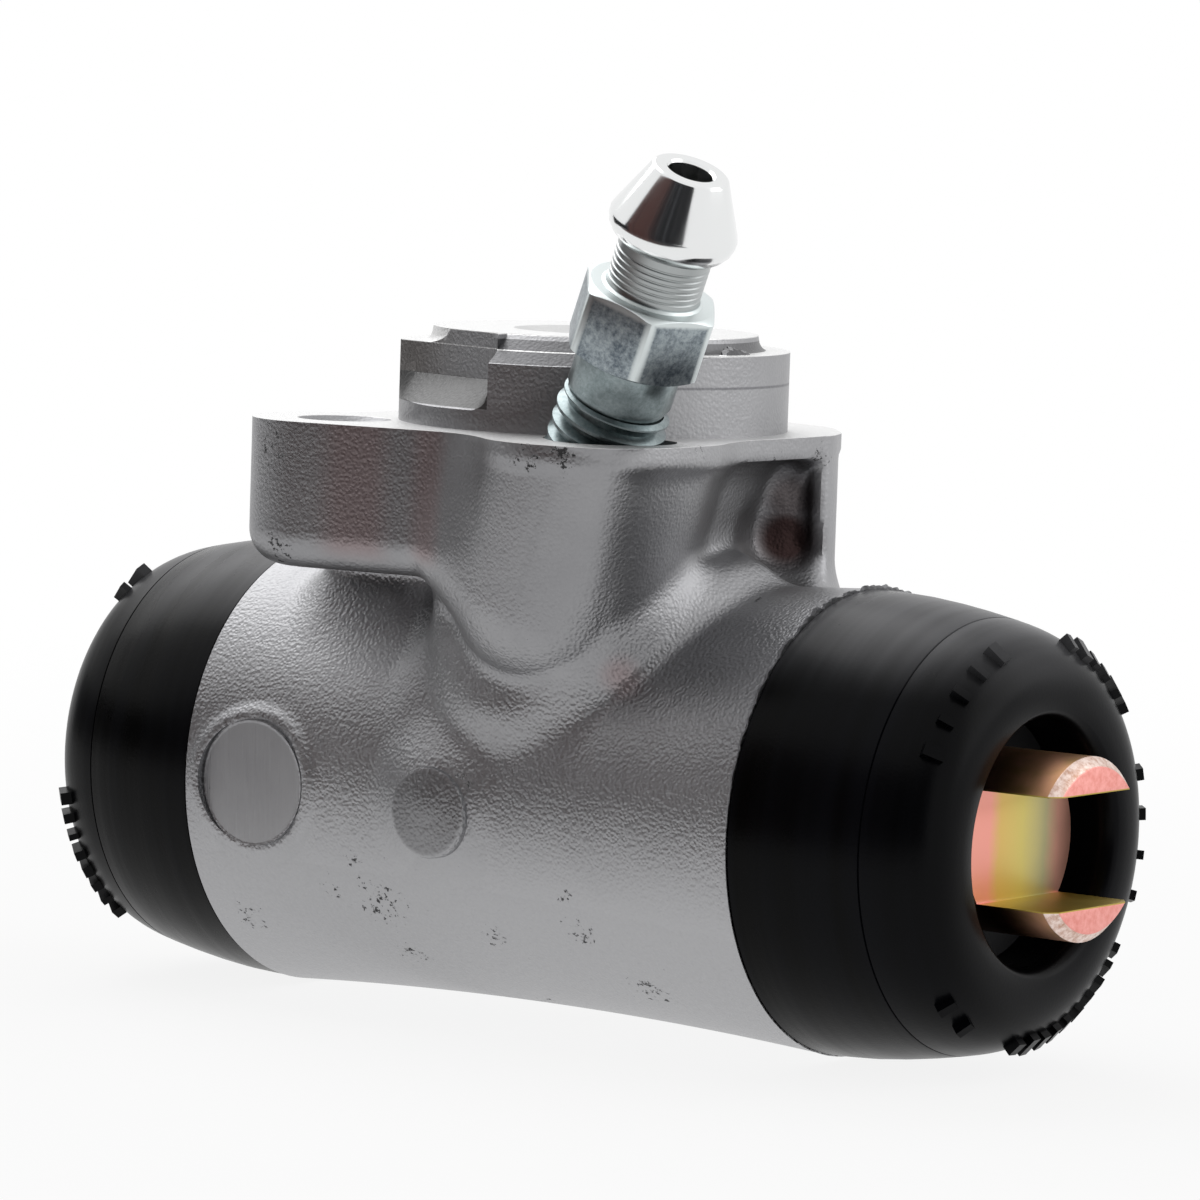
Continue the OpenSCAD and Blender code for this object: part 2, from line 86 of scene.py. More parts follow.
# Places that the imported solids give, in millimetres
BARREL_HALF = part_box("boot_right")[0].x / MM
FACE_H = -(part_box("boot_right")[0].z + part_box("boot_right")[1].z) / 2 / MM
BARREL_R = (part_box("boot_right")[1].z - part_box("boot_right")[0].z) / 2 / MM
END_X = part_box("body")[1].x / MM
NOSE_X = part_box("piston_right")[1].x / MM
PILOT_R = MOUNTS["pilot"]["dims"]["r_mm"]
BOLT_X = -MOUNTS["ear_bolts"]["pos_m"][0] / MM
BOLT_Y = MOUNTS["ear_bolts"]["dims"]["spacing_y_mm"] / 2
BOLT_R = MOUNTS["ear_bolts"]["dims"]["hole_r_mm"]
INLET_R = MOUNTS["inlet"]["dims"]["r_mm"]
BLEEDER_AT = Vector(JOINTS["bleeder_turn"]["pos_m"]) / MM
BLEEDER_AXIS = Vector(JOINTS["bleeder_turn"]["axis"]).normalized()
BORE_AXIS = (1, 0, 0)
BORE_AT = (0, 0, -FACE_H)
TO_BORE = Matrix.Translation((0, 0, -FACE_H * MM))
PITCH = 0.001  # of the bleeder, bolt and inlet threads, in metres


# Settings that a user would change

def size(name, text, value):
    """A length in millimetres"""
    return FloatProperty(name=name, description=text, default=value, min=0.0, precision=2)


def angle(name, text, value):
    """An angle, given in degrees"""
    return FloatProperty(name=name, description=text, default=math.radians(value), subtype="ANGLE")


def tint(name, text, value):
    """A linear colour"""
    return FloatVectorProperty(name=name, description=text, default=value, size=3, min=0.0, max=1.0,
                               subtype="COLOR")


class CastingSizes(bpy.types.PropertyGroup):
    """Sizes of the cast body in millimetres, and its colours"""

    waist: size("Waist", "How much the barrel narrows at mid length", 0.7)
    bore_r: size("Bore radius", "Radius of the cylinder bore", 9.525)
    neck_r: size("Neck radius", "Radius of the neck under each boot", 11.7)
    flange_r: size("Flange radius", "Radius of the round flange", 14.9)
    flange_t: size("Flange thickness", "Thickness of the flange rim", 1.4)
    flange_flat: size("Flange flat", "Distance of the flange's straight side", 13.25)
    pilot_h: size("Pilot height", "Height of the pilot boss's raised land", 5.85)
    pilot_shift: size("Pilot shift", "How far the cast boss sits to the left of its machined hole", 0.55)
    land_r: size("Land radius", "Radius of the raised land on the pilot boss", 10.0)
    land_step: size("Land step", "Step from the land to the boss's rim", 0.95)
    ear_r: size("Ear radius", "Radius of a bolt ear", 5.65)
    ear_h: size("Ear height", "Height of a bolt ear", 9.0)
    ear_round: size("Ear rounding", "Rounding of an ear's lower edge", 2.2)
    saddle_r: size("Saddle radius", "Radius of the raised band round the barrel", 16.3)
    saddle_y: size("Saddle front", "Distance of the band's front from the bore's axis", 13.0)
    saddle_draft: angle("Saddle draft", "Slope of the band's front and back", 9.6)
    lobe_r: size("Lobe radius", "Radius of the flange's lobe round the bleeder", 7.4)
    boss_r: size("Bleeder boss radius", "Radius of the boss cast round the bleeder", 6.6)
    boss_flat: size("Bleeder boss side", "Distance of the boss's leaning right side from the centre", 14.8)
    boss_len: size("Bleeder boss length", "Length of that boss below the face", 9.7)
    thread_r: size("Bleeder hole radius", "Radius of the bleeder's threaded hole", 3.5)
    pad_r: size("Pad radius", "Radius of the flat ejector pad", 4.0)
    button_r: size("Button radius", "Radius of the small side boss", 2.8)
    pad_x: FloatProperty(name="Pad place", description="Place of the pad along the barrel", default=-15.6)
    pad_face: size("Pad face", "Distance of the pad's flat from the bore's axis", 13.62)
    button_x: FloatProperty(name="Button place", description="Place of the side boss along the barrel",
                            default=-1.4)
    button_face: size("Button face", "Distance of the side boss's top from the bore's axis", 14.35)
    key_depth: size("Key depth", "Depth of the keying flat on the pilot boss", 2.1)
    key_low: size("Key height", "Height at which the keying flat starts", 3.0)
    key_end: size("Key end", "Where the keying flat ends in a step, from its middle", 4.2)
    key_turn: angle("Key direction", "Direction of the keying flat", 254.0)
    relief_r: size("Relief radius", "Inner radius of the sloping relief for the bleeder's wrench", 10.4)
    relief_low: size("Relief foot", "Height of the relief's lower edge where it starts", 4.1)
    relief_high: size("Relief head", "Height of the relief's upper edge", 5.45)
    relief_start: angle("Relief start", "Direction in which the relief starts", 274.5)
    relief_sweep: angle("Relief sweep", "How far the relief goes round", 90.0)
    hole_at: FloatVectorProperty(name="Pocket end", description="Middle of the pocket's deep end",
                                 default=(12.4, 2.6, -6.9), subtype="XYZ")
    grid: size("Grid", "Cell size of the casting's surface net", 0.34)
    metal_dark: tint("Dark metal", "Darker clouds of the rough casting", (0.29, 0.29, 0.30))
    metal_light: tint("Light metal", "Lighter clouds of the rough casting", (0.37, 0.37, 0.38))
    # Painted light: a lighter tone on the barrel's underside stands in for light thrown up from the floor
    lit_underside: tint("Lower metal", "Rough casting on the barrel's underside", (0.42, 0.42, 0.43))
    machined: tint("Machined metal", "Faces that were machined", (0.66, 0.66, 0.66))
    stain: tint("Stain", "Reddish stain on the ear and the saddle", (0.33, 0.24, 0.24))
    pit: tint("Pit", "Pits and nicks", (0.03, 0.03, 0.03))


class BleederSizes(bpy.types.PropertyGroup):
    """Sizes of the bleeder screw in millimetres, and its colours"""

    thread_r: size("Thread radius", "Outer radius of the thread", 3.45)
    shank_r: size("Shank radius", "Radius of the shank under the hexagon", 3.2)
    hex_af: size("Hexagon", "Width across the flats", 7.7)
    hex_low: size("Hexagon foot", "Height of the hexagon above the face", 5.7)
    hex_h: size("Hexagon height", "Length of the hexagon", 4.3)
    hex_worn: size("Hexagon wear", "How far the wrench has rounded the corners", 0.4)
    hex_turn: angle("Hexagon turn", "How far the hexagon is screwed round", 27.0)
    neck_r: size("Neck radius", "Radius of the hose neck", 2.85)
    neck_h: size("Neck length", "Length of the hose neck", 3.0)
    cone_r: size("Cone radius", "Widest radius of the hose cone", 3.9)
    cone_h: size("Cone height", "Length of the hose cone", 5.0)
    rim_r: size("Rim radius", "Radius of the cone's upper rim", 2.35)
    hole_r: size("Hole radius", "Radius of the drilling", 1.35)
    lean: angle("Lean", "How far the screw leans off the face's normal", 25.0)
    lean_turn: angle("Lean direction", "Direction of the lean", -16.4)
    zinc_dark: tint("Dark zinc", "Darker spots of the shank", (0.16, 0.20, 0.205))
    zinc_light: tint("Light zinc", "Lighter spots of the shank", (0.32, 0.37, 0.38))
    hex_dark: tint("Dark hexagon", "Darker spots of the hexagon", (0.11, 0.135, 0.16))
    hex_light: tint("Light hexagon", "Lighter spots of the hexagon", (0.40, 0.45, 0.47))
    worn: tint("Worn zinc", "Corners that the wrench has polished", (0.68, 0.73, 0.73))
    neck_tone: tint("Neck", "Turned neck", (0.40, 0.42, 0.42))
    cone_tone: tint("Cone", "Polished hose cone", (0.80, 0.81, 0.81))


class BootSizes(bpy.types.PropertyGroup):
    """Sizes of a boot in millimetres, and its colours"""

    skirt: size("Skirt", "Length of the skirt up to the mould line", 8.7)
    taper: size("Taper", "Radius lost along the skirt", 1.0)
    dome: size("Dome", "Length of the domed end", 4.5)
    dome_top_r: size("Dome radius", "Radius at which the dome turns inwards", 8.9)
    mouth_r: size("Mouth radius", "Radius of the mouth", 7.4)
    nose_r: size("Lip radius", "Radius of the lip on the piston's nose", 5.55)
    pip_r: size("Pip radius", "Radius of the row of pips", 12.05)
    pip_x: size("Pip place", "Place of the pips along the bore", 32.55)
    pip_tilt: angle("Pip tilt", "Slope of the dome under the pips", 45.0)
    rubber_dark: tint("Dark rubber", "Darker rings of the rubber", (0.001, 0.001, 0.001))
    rubber_light: tint("Light rubber", "Lighter rings of the rubber", (0.003, 0.0032, 0.0045))
    # Painted highlight: pale colour on the upper side of each boot stands in for a sheen of light from above
    sheen: tint("Bloom", "Pale bloom on the upper side", (0.20, 0.20, 0.21))


class PistonSizes(bpy.types.PropertyGroup):
    """Sizes of a piston in millimetres, and its colours"""

    slot_half: size("Slot", "Half the width of the slot for the brake shoe", 3.35)
    slot_depth: size("Slot depth", "Depth of that slot from the nose's end", 5.25)
    yellow: tint("Yellow", "Chromate on the slot's walls", (0.46, 0.34, 0.07))
    pink_dark: tint("Dark pink", "Darker spots of the nose's end", (0.76, 0.28, 0.24))
    pink_light: tint("Light pink", "Lighter spots of the nose's end", (0.88, 0.40, 0.36))


class StageSettings(bpy.types.PropertyGroup):
    """Camera, lights and floor"""

    azimuth: angle("Azimuth", "Direction of the view", 36.705)
    elevation: angle("Elevation", "Height of the view", 5.078)
    roll: angle("Roll", "Tilt of the picture", 1.917)
    distance: FloatProperty(name="Distance", description="From the camera to its target", default=0.4115,
                            subtype="DISTANCE")
    lens: FloatProperty(name="Lens", description="Focal length", default=200.03, unit="CAMERA")
    key_power: FloatProperty(name="Key light", description="Power of the key light", default=2.4, unit="POWER")
    rim_power: FloatProperty(name="Rim light", description="Power of the rim light", default=1.0, unit="POWER")
    floor: tint("Floor", "Shade of the floor", (0.9, 0.9, 0.9))


# Shader maths

class Wire:
    """An output socket that takes part in sums: each operation adds one Math node"""

    def __init__(self, tree, socket):
        self.tree = tree
        self.socket = socket

    def sum(self, operation, a, b):
        return self.tree.node("ShaderNodeMath", {"operation": operation}, {0: a, 1: b})

    def __add__(self, other):
        return self.sum("ADD", self, other)

    def __radd__(self, other):
        return self.sum("ADD", other, self)

    def __sub__(self, other):
        return self.sum("SUBTRACT", self, other)

    def __rsub__(self, other):
        return self.sum("SUBTRACT", other, self)

    def __mul__(self, other):
        return self.sum("MULTIPLY", self, other)

    def __rmul__(self, other):
        return self.sum("MULTIPLY", other, self)

    def __truediv__(self, other):
        return self.sum("DIVIDE", self, other)

    def __pow__(self, other):
        return self.sum("POWER", self, other)

    def __gt__(self, other):
        return self.sum("GREATER_THAN", self, other)

    def __lt__(self, other):
        return self.sum("LESS_THAN", self, other)

    def __or__(self, other):
        return self.sum("MAXIMUM", self, other)

    def __and__(self, other):
        return self.sum("MINIMUM", self, other)


class Tree:
    """A node tree under construction"""

    def __init__(self, tree):
        self.tree = tree
        tree.nodes.clear()

    def node(self, kind, settings=None, sockets=None, out=0):
        """Adds a node: its settings first, then the values or links of its sockets"""
        made = self.tree.nodes.new(kind)
        for key, value in (settings or {}).items():
            if key == "stops":
                self.set_stops(made.color_ramp, value)
            else:
                setattr(made, key, value)
        for key, value in (sockets or {}).items():
            socket = made.inputs[key]
            if isinstance(value, Wire):
                self.tree.links.new(value.socket, socket)
            elif socket.type == "RGBA":
                socket.default_value = (*value[:3], 1.0)
            else:
                socket.default_value = value
        return Wire(self, made.outputs[out]) if made.outputs else None

    def outs(self, wire):
        """All outputs of the node that a wire comes from"""
        return {socket.name: Wire(self, socket) for socket in wire.socket.node.outputs if socket.enabled}

    @staticmethod
    def set_stops(ramp, stops):
        while len(ramp.elements) < len(stops):
            ramp.elements.new(1.0)
        for element, (place, colour) in zip(ramp.elements, stops):
            element.position = place
            element.color = (*colour, 1.0)

    def seen(self):
        """1 for rays that show a background: from the camera, or off or through a surface"""
        rays = self.outs(self.node("ShaderNodeLightPath"))
        return rays["Is Camera Ray"] | rays["Is Glossy Ray"] | rays["Is Transmission Ray"]


class Paint(Tree):
    """A material under construction"""

    def __init__(self, name):
        self.material = bpy.data.materials.new(name)
        self.material.use_nodes = True
        super().__init__(self.material.node_tree)

    def place(self):
        """Object coordinates in millimetres"""
        spot = self.node("ShaderNodeTexCoord", out="Object")
        return self.node("ShaderNodeVectorMath", {"operation": "SCALE"}, {0: spot, "Scale": 1.0 / MM})

    def axes(self, spot):
        """The three coordinates of a vector"""
        return list(self.outs(self.node("ShaderNodeSeparateXYZ", None, {0: spot})).values())

    def noise(self, spot, scale, detail=2.0, rough=0.5, stretch=None):
        """Noise whose features are about 1 / scale millimetres wide"""
        if stretch:
            spot = self.node("ShaderNodeMapping", None, {"Vector": spot, "Scale": stretch})
        sockets = {"Vector": spot, "Scale": scale, "Detail": detail, "Roughness": rough}
        return self.node("ShaderNodeTexNoise", None, sockets)

    def band(self, value, low, high):
        """0 below low, 1 above high, smooth between; low above high turns it round"""
        sockets = {"Value": value, "From Min": low, "From Max": high}
        return self.node("ShaderNodeMapRange", {"interpolation_type": "SMOOTHSTEP"}, sockets)

    def distance(self, a, b):
        return self.node("ShaderNodeVectorMath", {"operation": "DISTANCE"}, {0: a, 1: b}, out="Value")

    def near(self, spot, centre, full, none):
        """1 within the full distance of a point, 0 beyond the other"""
        return self.band(self.distance(spot, centre), none, full)

    def scratch(self, spot, a, b, width):
        """1 along a short straight mark from a to b"""
        a, b = Vector(a), Vector(b)
        run = b - a
        from_a = self.node("ShaderNodeVectorMath", {"operation": "SUBTRACT"}, {0: spot, 1: a})
        share = self.node("ShaderNodeVectorMath", {"operation": "DOT_PRODUCT"},
                          {0: from_a, 1: run / run.length_squared}, out="Value")
        share = self.node("ShaderNodeClamp", None, {0: share})
        foot = self.node("ShaderNodeVectorMath", {"operation": "SCALE"}, {0: run, "Scale": share})
        return self.band(self.distance(from_a, foot), width, width * 0.4)

    def blend(self, mask, a, b):
        """Colour a where the mask is 0, b where it is 1"""
        return self.node("ShaderNodeMix", {"data_type": "RGBA"}, {0: mask, 6: a, 7: b}, out=2)

    def ramp(self, value, *stops):
        return self.node("ShaderNodeValToRGB", {"stops": stops}, {0: value})

    def bump(self, height, strength, distance):
        sockets = {"Height": height, "Strength": strength, "Distance": distance}
        return self.node("ShaderNodeBump", None, sockets)

    def surface(self, **sockets):
        """Ends the material in one Principled shader"""
        sockets = {key.replace("_", " "): value for key, value in sockets.items()}
        shader = self.node("ShaderNodeBsdfPrincipled", None, sockets)
        self.node("ShaderNodeOutputMaterial", None, {"Surface": shader})
        return self.material


class Graph(Tree):
    """A Geometry Nodes tree with named inputs and one mesh output"""

    def __init__(self, name, inputs):
        super().__init__(bpy.data.node_groups.new(name, "GeometryNodeTree"))
        self.keys = {}
        for label, value in inputs.items():
            kind = "NodeSocketInt" if isinstance(value, int) else "NodeSocketFloat"
            socket = self.tree.interface.new_socket(label, in_out="INPUT", socket_type=kind)
            socket.default_value = value
            self.keys[label] = socket.identifier
        self.tree.interface.new_socket("Mesh", in_out="OUTPUT", socket_type="NodeSocketGeometry")
        self.inputs = self.outs(self.node("NodeGroupInput"))

    def end(self, shape, material):
        shape = self.node("GeometryNodeRealizeInstances", None, {0: shape})
        shape = self.node("GeometryNodeSetMaterial", None, {"Geometry": shape, "Material": material})
        self.node("NodeGroupOutput", None, {0: shape})

    def mesh(self, name, **values):
        """Runs the tree with these inputs and gives a plain mesh"""
        piece = solid(name, bpy.data.meshes.new(name))
        step = piece.modifiers.new("graph", "NODES")
        step.node_group = self.tree
        for label, value in values.items():
            step[self.keys[label]] = value
        piece.update_tag()
        settle(piece)
        return lift(piece)


# Finishes

def cast_aluminium(s):
    """Blasted die casting with machined upper faces"""
    paint = Paint("cast_aluminium")
    spot = paint.place()
    colour = cast_tone(paint, s, spot)
    colour = boss_tone(paint, s, colour, spot)
    button = paint.near(spot, (s.button_x, -s.button_face, -FACE_H - 0.5), s.button_r - 0.4, s.button_r)
    colour = paint.blend(button * 0.6, colour, (0.18, 0.18, 0.185))
    speck = paint.noise(spot, 2.6, 4.0, 0.7)
    uneven = paint.noise(spot, 0.9, 2.0, 0.5)
    cut = paint.scratch(spot, (16.7, -11.1, -14.9), (14.9, -2.6, -8.4), 0.22)
    nicks = paint.band(speck + 0.34 * pitted(paint, spot) * uneven, 0.72, 0.78)
    nicks = nicks | cut * paint.band(speck, 0.35, 0.5)
    colour = paint.blend(nicks * 0.8, colour, s.pit)
    pebble = paint.node("ShaderNodeTexVoronoi", {"feature": "SMOOTH_F1"},
                        {"Vector": spot, "Scale": 4.6, "Smoothness": 0.7})
    grain = 0.5 * paint.noise(spot, 7.0, 2.0, 0.5) + 0.9 * pebble
    low = paint.band(paint.axes(spot)[2], -8.0, -11.0)
    pad = paint.near(spot, (s.pad_x, -s.pad_face, -FACE_H - 0.1), s.pad_r - 0.3, s.pad_r - 0.1)
    brushed = paint.noise(spot, 1.0, 2.0, 0.6, (7.0, 0.5, 0.3))
    rough = 0.38 + 0.08 * grain + 0.3 * nicks
    height = grain * (0.45 + 0.55 * low) * (1.0 - pad) + 0.5 * brushed * pad
    normal = paint.bump(height - 0.3 * nicks, 0.3, 0.0002)
    return paint.surface(Base_Color=colour, Metallic=1.0, Roughness=rough, Normal=normal)


def cast_tone(paint, s, spot):
    """Colour of the rough casting: clouds, reddish stains, painted light on the underside, and painted shade right
    of the bleeder boss
    """
    x, y, z = paint.axes(spot)
    cloud = paint.noise(spot, 0.09, 3.0, 0.55)
    tone = paint.ramp(cloud, (0.3, s.metal_dark), (0.7, s.metal_light))
    # Painted light: the lower barrel is blended to a lighter tone in place of light from the floor
    tone = paint.blend(paint.band(z, -21.0, -29.0), tone, s.lit_underside)
    ear = paint.band(x, -9.8, -7.4) * paint.band(x, -3.6, -5.6)
    ear = ear | paint.band(x, -3.2, -1.6) * paint.band(x, 0.4, -1.2)
    ear = ear * paint.band(y, -14.4, -15.2) * paint.band(z, -8.6, -7.2)
    ridge = paint.near(spot, (11.0, -11.8, -14.0), 0.4, 1.8)
    # Painted shade: a dark patch on the barrel's shoulder stands in for the shade and dark reflection from the
    # right boot
    shoulder_shade = paint.near(spot, (17.0, -8.6, -12.2), 1.5, 5.5)
    # Painted shade: the bleeder boss's right flank under the rim is darkened, standing in for the rim's shadow and
    # the boot's dark reflection
    flank_shade = paint.near(spot, (12.0, -2.5, -3.5), 4.0, 8.0)
    flank_shade = flank_shade * paint.band(z, -1.2, -2.4) * paint.band(z, -7.0, -6.3)
    # Painted shade: the pocket's deep end is darkened to a reddish near black, standing in for its shadow
    pocket = paint.near(spot, (11.0, 4.7, -6.4), 1.0, 2.8)
    pocket = pocket | 0.75 * paint.near(spot, (11.2, 4.8, -4.0), 0.8, 2.4)
    for mask, shade in (((ear | ridge) * 0.55, s.stain), (shoulder_shade * 0.5, (0.10, 0.10, 0.105)),
                        (flank_shade * 0.7, (0.13, 0.13, 0.135)), (pocket, (0.045, 0.028, 0.027))):
        tone = paint.blend(mask, tone, shade)
    return tone


def boss_tone(paint, s, colour, spot):
    """Adds the machined faces, the dark keying flat, relief and line of the pilot boss, and painted shade under
    the keying flat
    """
    x, y, z = paint.axes(spot)
    off = x + s.pilot_shift
    round_z = (off * off + y * y) ** 0.5
    rim = s.pilot_h - s.land_step
    turn = Vector((math.cos(s.key_turn), math.sin(s.key_turn)))
    to_key = off * turn.x + y * turn.y
    along = y * turn.x - off * turn.y
    by_key = (to_key > PILOT_R - s.key_depth - 0.03) * (s.key_end > along) * (z > s.key_low - 1.7)
    land = (z > rim - 0.03) * ((rim + 0.03 > z) | (-0.3 > x) * (1.0 - by_key)) | (z > s.pilot_h - 0.05)
    machined = land | (z > -0.02) * (0.05 > z) * (round_z > PILOT_R)
    # Painted shade: the slope under the keying flat, and a band of boss wall below it, take a dark tone standing
    # in for how light falls on the slope
    notch = by_key * (s.key_low + 0.02 > z)
    relief = (PILOT_R - 0.05 > round_z) * (round_z > 8.0) * (z > 3.9) * (s.relief_high + 0.1 > z)
    relief = relief * paint.band(x, -0.8, 0.2)
    line = paint.band(z, 2.85, 2.95) * paint.band(z, 3.1, 3.0) * (round_z > PILOT_R - 0.2)
    line = line * paint.band(x, 8.0, 10.0)
    flat = by_key * paint.band(along, 0.5, -5.5)
    for mask, shade in ((flat, (0.19, 0.18, 0.175)), (line * 0.6, (0.10, 0.10, 0.11)),
                        (notch, (0.11, 0.11, 0.11)), (relief, (0.14, 0.14, 0.145)), (machined, s.machined)):
        colour = paint.blend(mask, colour, shade)
    return colour


def pitted(paint, spot):
    """1 where dark pits gather on the casting: centre, full reach and end of reach of each place"""
    first, *others = (
        ((13.2, 5.0, -1.6), 0.6, 2.2), ((8.2, -18.6, -0.8), 0.7, 1.8), ((11.0, -18.2, -0.8), 0.5, 1.6),
        ((-12.6, -16.2, -1.6), 0.6, 2.6), ((-12.3, -15.6, -7.9), 0.6, 2.4), ((12.8, 0.3, -0.7), 0.4, 1.3),
        ((13.9, -10.4, -0.5), 0.5, 2.2), ((-6.8, -11.3, -29.2), 1.0, 3.2), ((-6.2, -8.6, -32.6), 0.5, 2.4),
        ((-10.4, -11.6, -28.8), 0.3, 1.8), ((-8.2, -12.6, -26.5), 0.3, 1.4), ((8.5, -11.2, -29.4), 0.6, 2.2),
        ((8.2, -12.3, -27.4), 0.4, 1.3), ((11.8, -8.5, -32.6), 0.6, 2.6), ((0.6, -4.0, -35.1), 0.4, 2.2),
        ((-18.0, -10.0, -31.2), 0.4, 3.0), ((0.9, -13.6, -21.1), 0.5, 1.3), ((1.5, -10.5, -30.6), 0.4, 2.0))
    near = paint.near(spot, *first)
    for place in others:
        near = near | paint.near(spot, *place)
    return near


def bright_zinc(s):
    """Bright zinc plating, polished on the hose cone and dulled by a wrench on the hexagon"""
    paint = Paint("bright_zinc")
    spot = paint.place()
    rel = paint.node("ShaderNodeVectorMath", {"operation": "SUBTRACT"}, {0: spot, 1: BLEEDER_AT})
    along = paint.node("ShaderNodeVectorMath", {"operation": "DOT_PRODUCT"},
                       {0: rel, 1: BLEEDER_AXIS}, out="Value")
    reach = paint.node("ShaderNodeVectorMath", {"operation": "LENGTH"}, {0: rel}, out="Value")
    out = (reach * reach - along * along) ** 0.5
    top = s.hex_low + s.hex_h
    on_hex = paint.band(along, s.hex_low - 0.1, s.hex_low + 0.1) * paint.band(along, top + 0.2, top + 0.1)
    cone = paint.band(along, top + s.neck_h + 0.1, top + s.neck_h + 0.5)
    shine = on_hex * (paint.band(along, top - 0.55, top - 0.25) | paint.band(out, 4.22, 4.31))
    cloud = paint.noise(spot, 0.6, 3.0, 0.6)
    fine = paint.noise(spot, 3.5, 4.0, 0.75)
    spots = cloud * 0.4 + fine * 0.6
    colour = paint.ramp(spots, (0.35, s.zinc_dark), (0.65, s.zinc_light))
    colour = paint.blend(on_hex, colour, paint.ramp(spots, (0.38, s.hex_dark), (0.62, s.hex_light)))
    colour = paint.blend(paint.band(along, top + 0.1, top + 0.3), colour, s.neck_tone)
    colour = paint.blend(shine, colour, s.worn)
    colour = paint.blend(cone, colour, s.cone_tone)
    rough = 0.26 + 0.1 * cloud + 0.06 * on_hex - 0.17 * cone
    return paint.surface(Base_Color=colour, Metallic=1.0, Roughness=rough)


def boot_rubber(s):
    """Moulded black rubber, with a painted sheen on the upper side"""
    paint = Paint("boot_rubber")
    spot = paint.place()
    cloud = paint.noise(spot, 0.25, 4.0, 0.6)
    fine = paint.noise(spot, 5.0, 2.0, 0.5)
    rings = paint.noise(spot, 1.0, 2.0, 0.5, (0.55, 0.02, 0.02))
    # Painted highlight: this mask lightens the upper side of each boot where light from above would shine
    sheen = paint.band(paint.axes(spot)[2] + FACE_H, 8.5, 13.5)
    colour = paint.ramp(rings, (0.35, s.rubber_dark), (0.7, s.rubber_light))
    colour = paint.blend(sheen * rings, colour, s.sheen)
    rough = 0.17 + 0.12 * cloud + 0.12 * rings
    normal = paint.bump(fine * 0.1 + rings, 0.25, 0.0002)
    return paint.surface(Base_Color=colour, Roughness=rough, Normal=normal, Specular_IOR_Level=0.07)


def yellow_chromate(s):
    """Yellow chromate over turned steel, pink on the noses' ends and scuffed round their tips"""
    paint = Paint("yellow_chromate")
    spot = paint.place()
    x, y, z = paint.axes(spot)
    out = (x | 0.0 - x) - NOSE_X
    up = z + FACE_H
    inner = s.slot_half + 0.07 > (up | 0.0 - up)
    cloud = paint.noise(spot, 0.35, 3.0, 0.6)
    fine = paint.noise(spot, 2.2, 4.0, 0.7)
    pink = paint.ramp(fine, (0.35, s.pink_dark), (0.65, s.pink_light))
    scuff = paint.ramp(fine, (0.35, (0.50, 0.30, 0.22)), (0.6, (0.80, 0.66, 0.60)))
    across = y * 0.11 + 0.45 + 0.1 * cloud + 0.04 * fine
    floor = paint.ramp(across, (0.16, (0.80, 0.34, 0.28)), (0.28, (0.64, 0.44, 0.14)),
                       (0.55, (0.60, 0.50, 0.15)), (0.82, (0.46, 0.42, 0.22)), (0.97, (0.78, 0.40, 0.30)))
    colour = paint.ramp(cloud, (0.35, (0.34, 0.20, 0.08)), (0.65, (0.50, 0.26, 0.16)))
    colour = paint.blend(inner * (out > 0.05 - s.slot_depth), colour, s.yellow)
    bottom = inner * (out > -0.15 - s.slot_depth) * (0.15 - s.slot_depth > out)
    colour = paint.blend(bottom, colour, floor)
    colour = paint.blend((1.0 - inner) * (out > -0.66), colour, scuff)
    colour = paint.blend((1.0 - inner) * (out > -0.05), colour, pink)
    return paint.surface(Base_Color=colour, Metallic=1.0, Roughness=0.34 + 0.1 * cloud)


def cup_rubber():
    """Plain black seal rubber"""
    paint = Paint("cup_rubber")
    cloud = paint.noise(paint.place(), 0.5, 3.0, 0.5)
    colour = paint.ramp(cloud, (0.3, (0.012, 0.012, 0.012)), (0.8, (0.022, 0.022, 0.022)))
    return paint.surface(Base_Color=colour, Roughness=0.4 + 0.2 * cloud)


def spring_wire():
    """Drawn spring wire"""
    paint = Paint("spring_wire")
    cloud = paint.noise(paint.place(), 1.5, 3.0, 0.5)
    colour = paint.ramp(cloud, (0.3, (0.25, 0.25, 0.26)), (0.8, (0.42, 0.42, 0.43)))
    return paint.surface(Base_Color=colour, Metallic=1.0, Roughness=0.25 + 0.2 * cloud)


# Meshes

def dress(mesh, material):
    """Gives a mesh one material"""
    mesh.materials.clear()
    mesh.materials.append(material)


def add_piece(name, mesh, material):
    """Links a finished mesh with its material"""
    dress(mesh, material)
    return solid(name, mesh)


def mesh_from(name, points, faces):
    """A mesh from points in millimetres"""
    mesh = bpy.data.meshes.new(name)
    mesh.from_pydata([tuple(MM * c for c in p) for p in points], [], [tuple(f) for f in faces])
    mesh.update()
    return mesh


def loft(name, rings, closed=False):
    """Skin over rings of as many points each: closed round, or with a face at both ends"""
    count, steps = len(rings[0]), len(rings)
    pairs = [(i, (i + 1) % steps) for i in range(steps if closed else steps - 1)]
    faces = [(i * count + k, j * count + k, j * count + (k + 1) % count, i * count + (k + 1) % count)
             for i, j in pairs for k in range(count)]
    if not closed:
        faces += [tuple(range(count)), tuple(range(steps * count - 1, (steps - 1) * count - 1, -1))]
    mesh = mesh_from(name, [point for ring in rings for point in ring], faces)
    clean(mesh)
    return mesh


def sector(name, cuts, closed=False):
    """A shape that goes round Z: each cut has an angle and its (radius, height) points"""
    rings = [[(r * math.cos(a), r * math.sin(a), h) for r, h in section] for a, section in cuts]
    return loft(name, rings, closed)


def revolve(name, section, steps=96):
    """Turns a closed section of (radius, height) points about Z"""
    return sector(name, [(2 * math.pi * i / steps, section) for i in range(steps)], True)


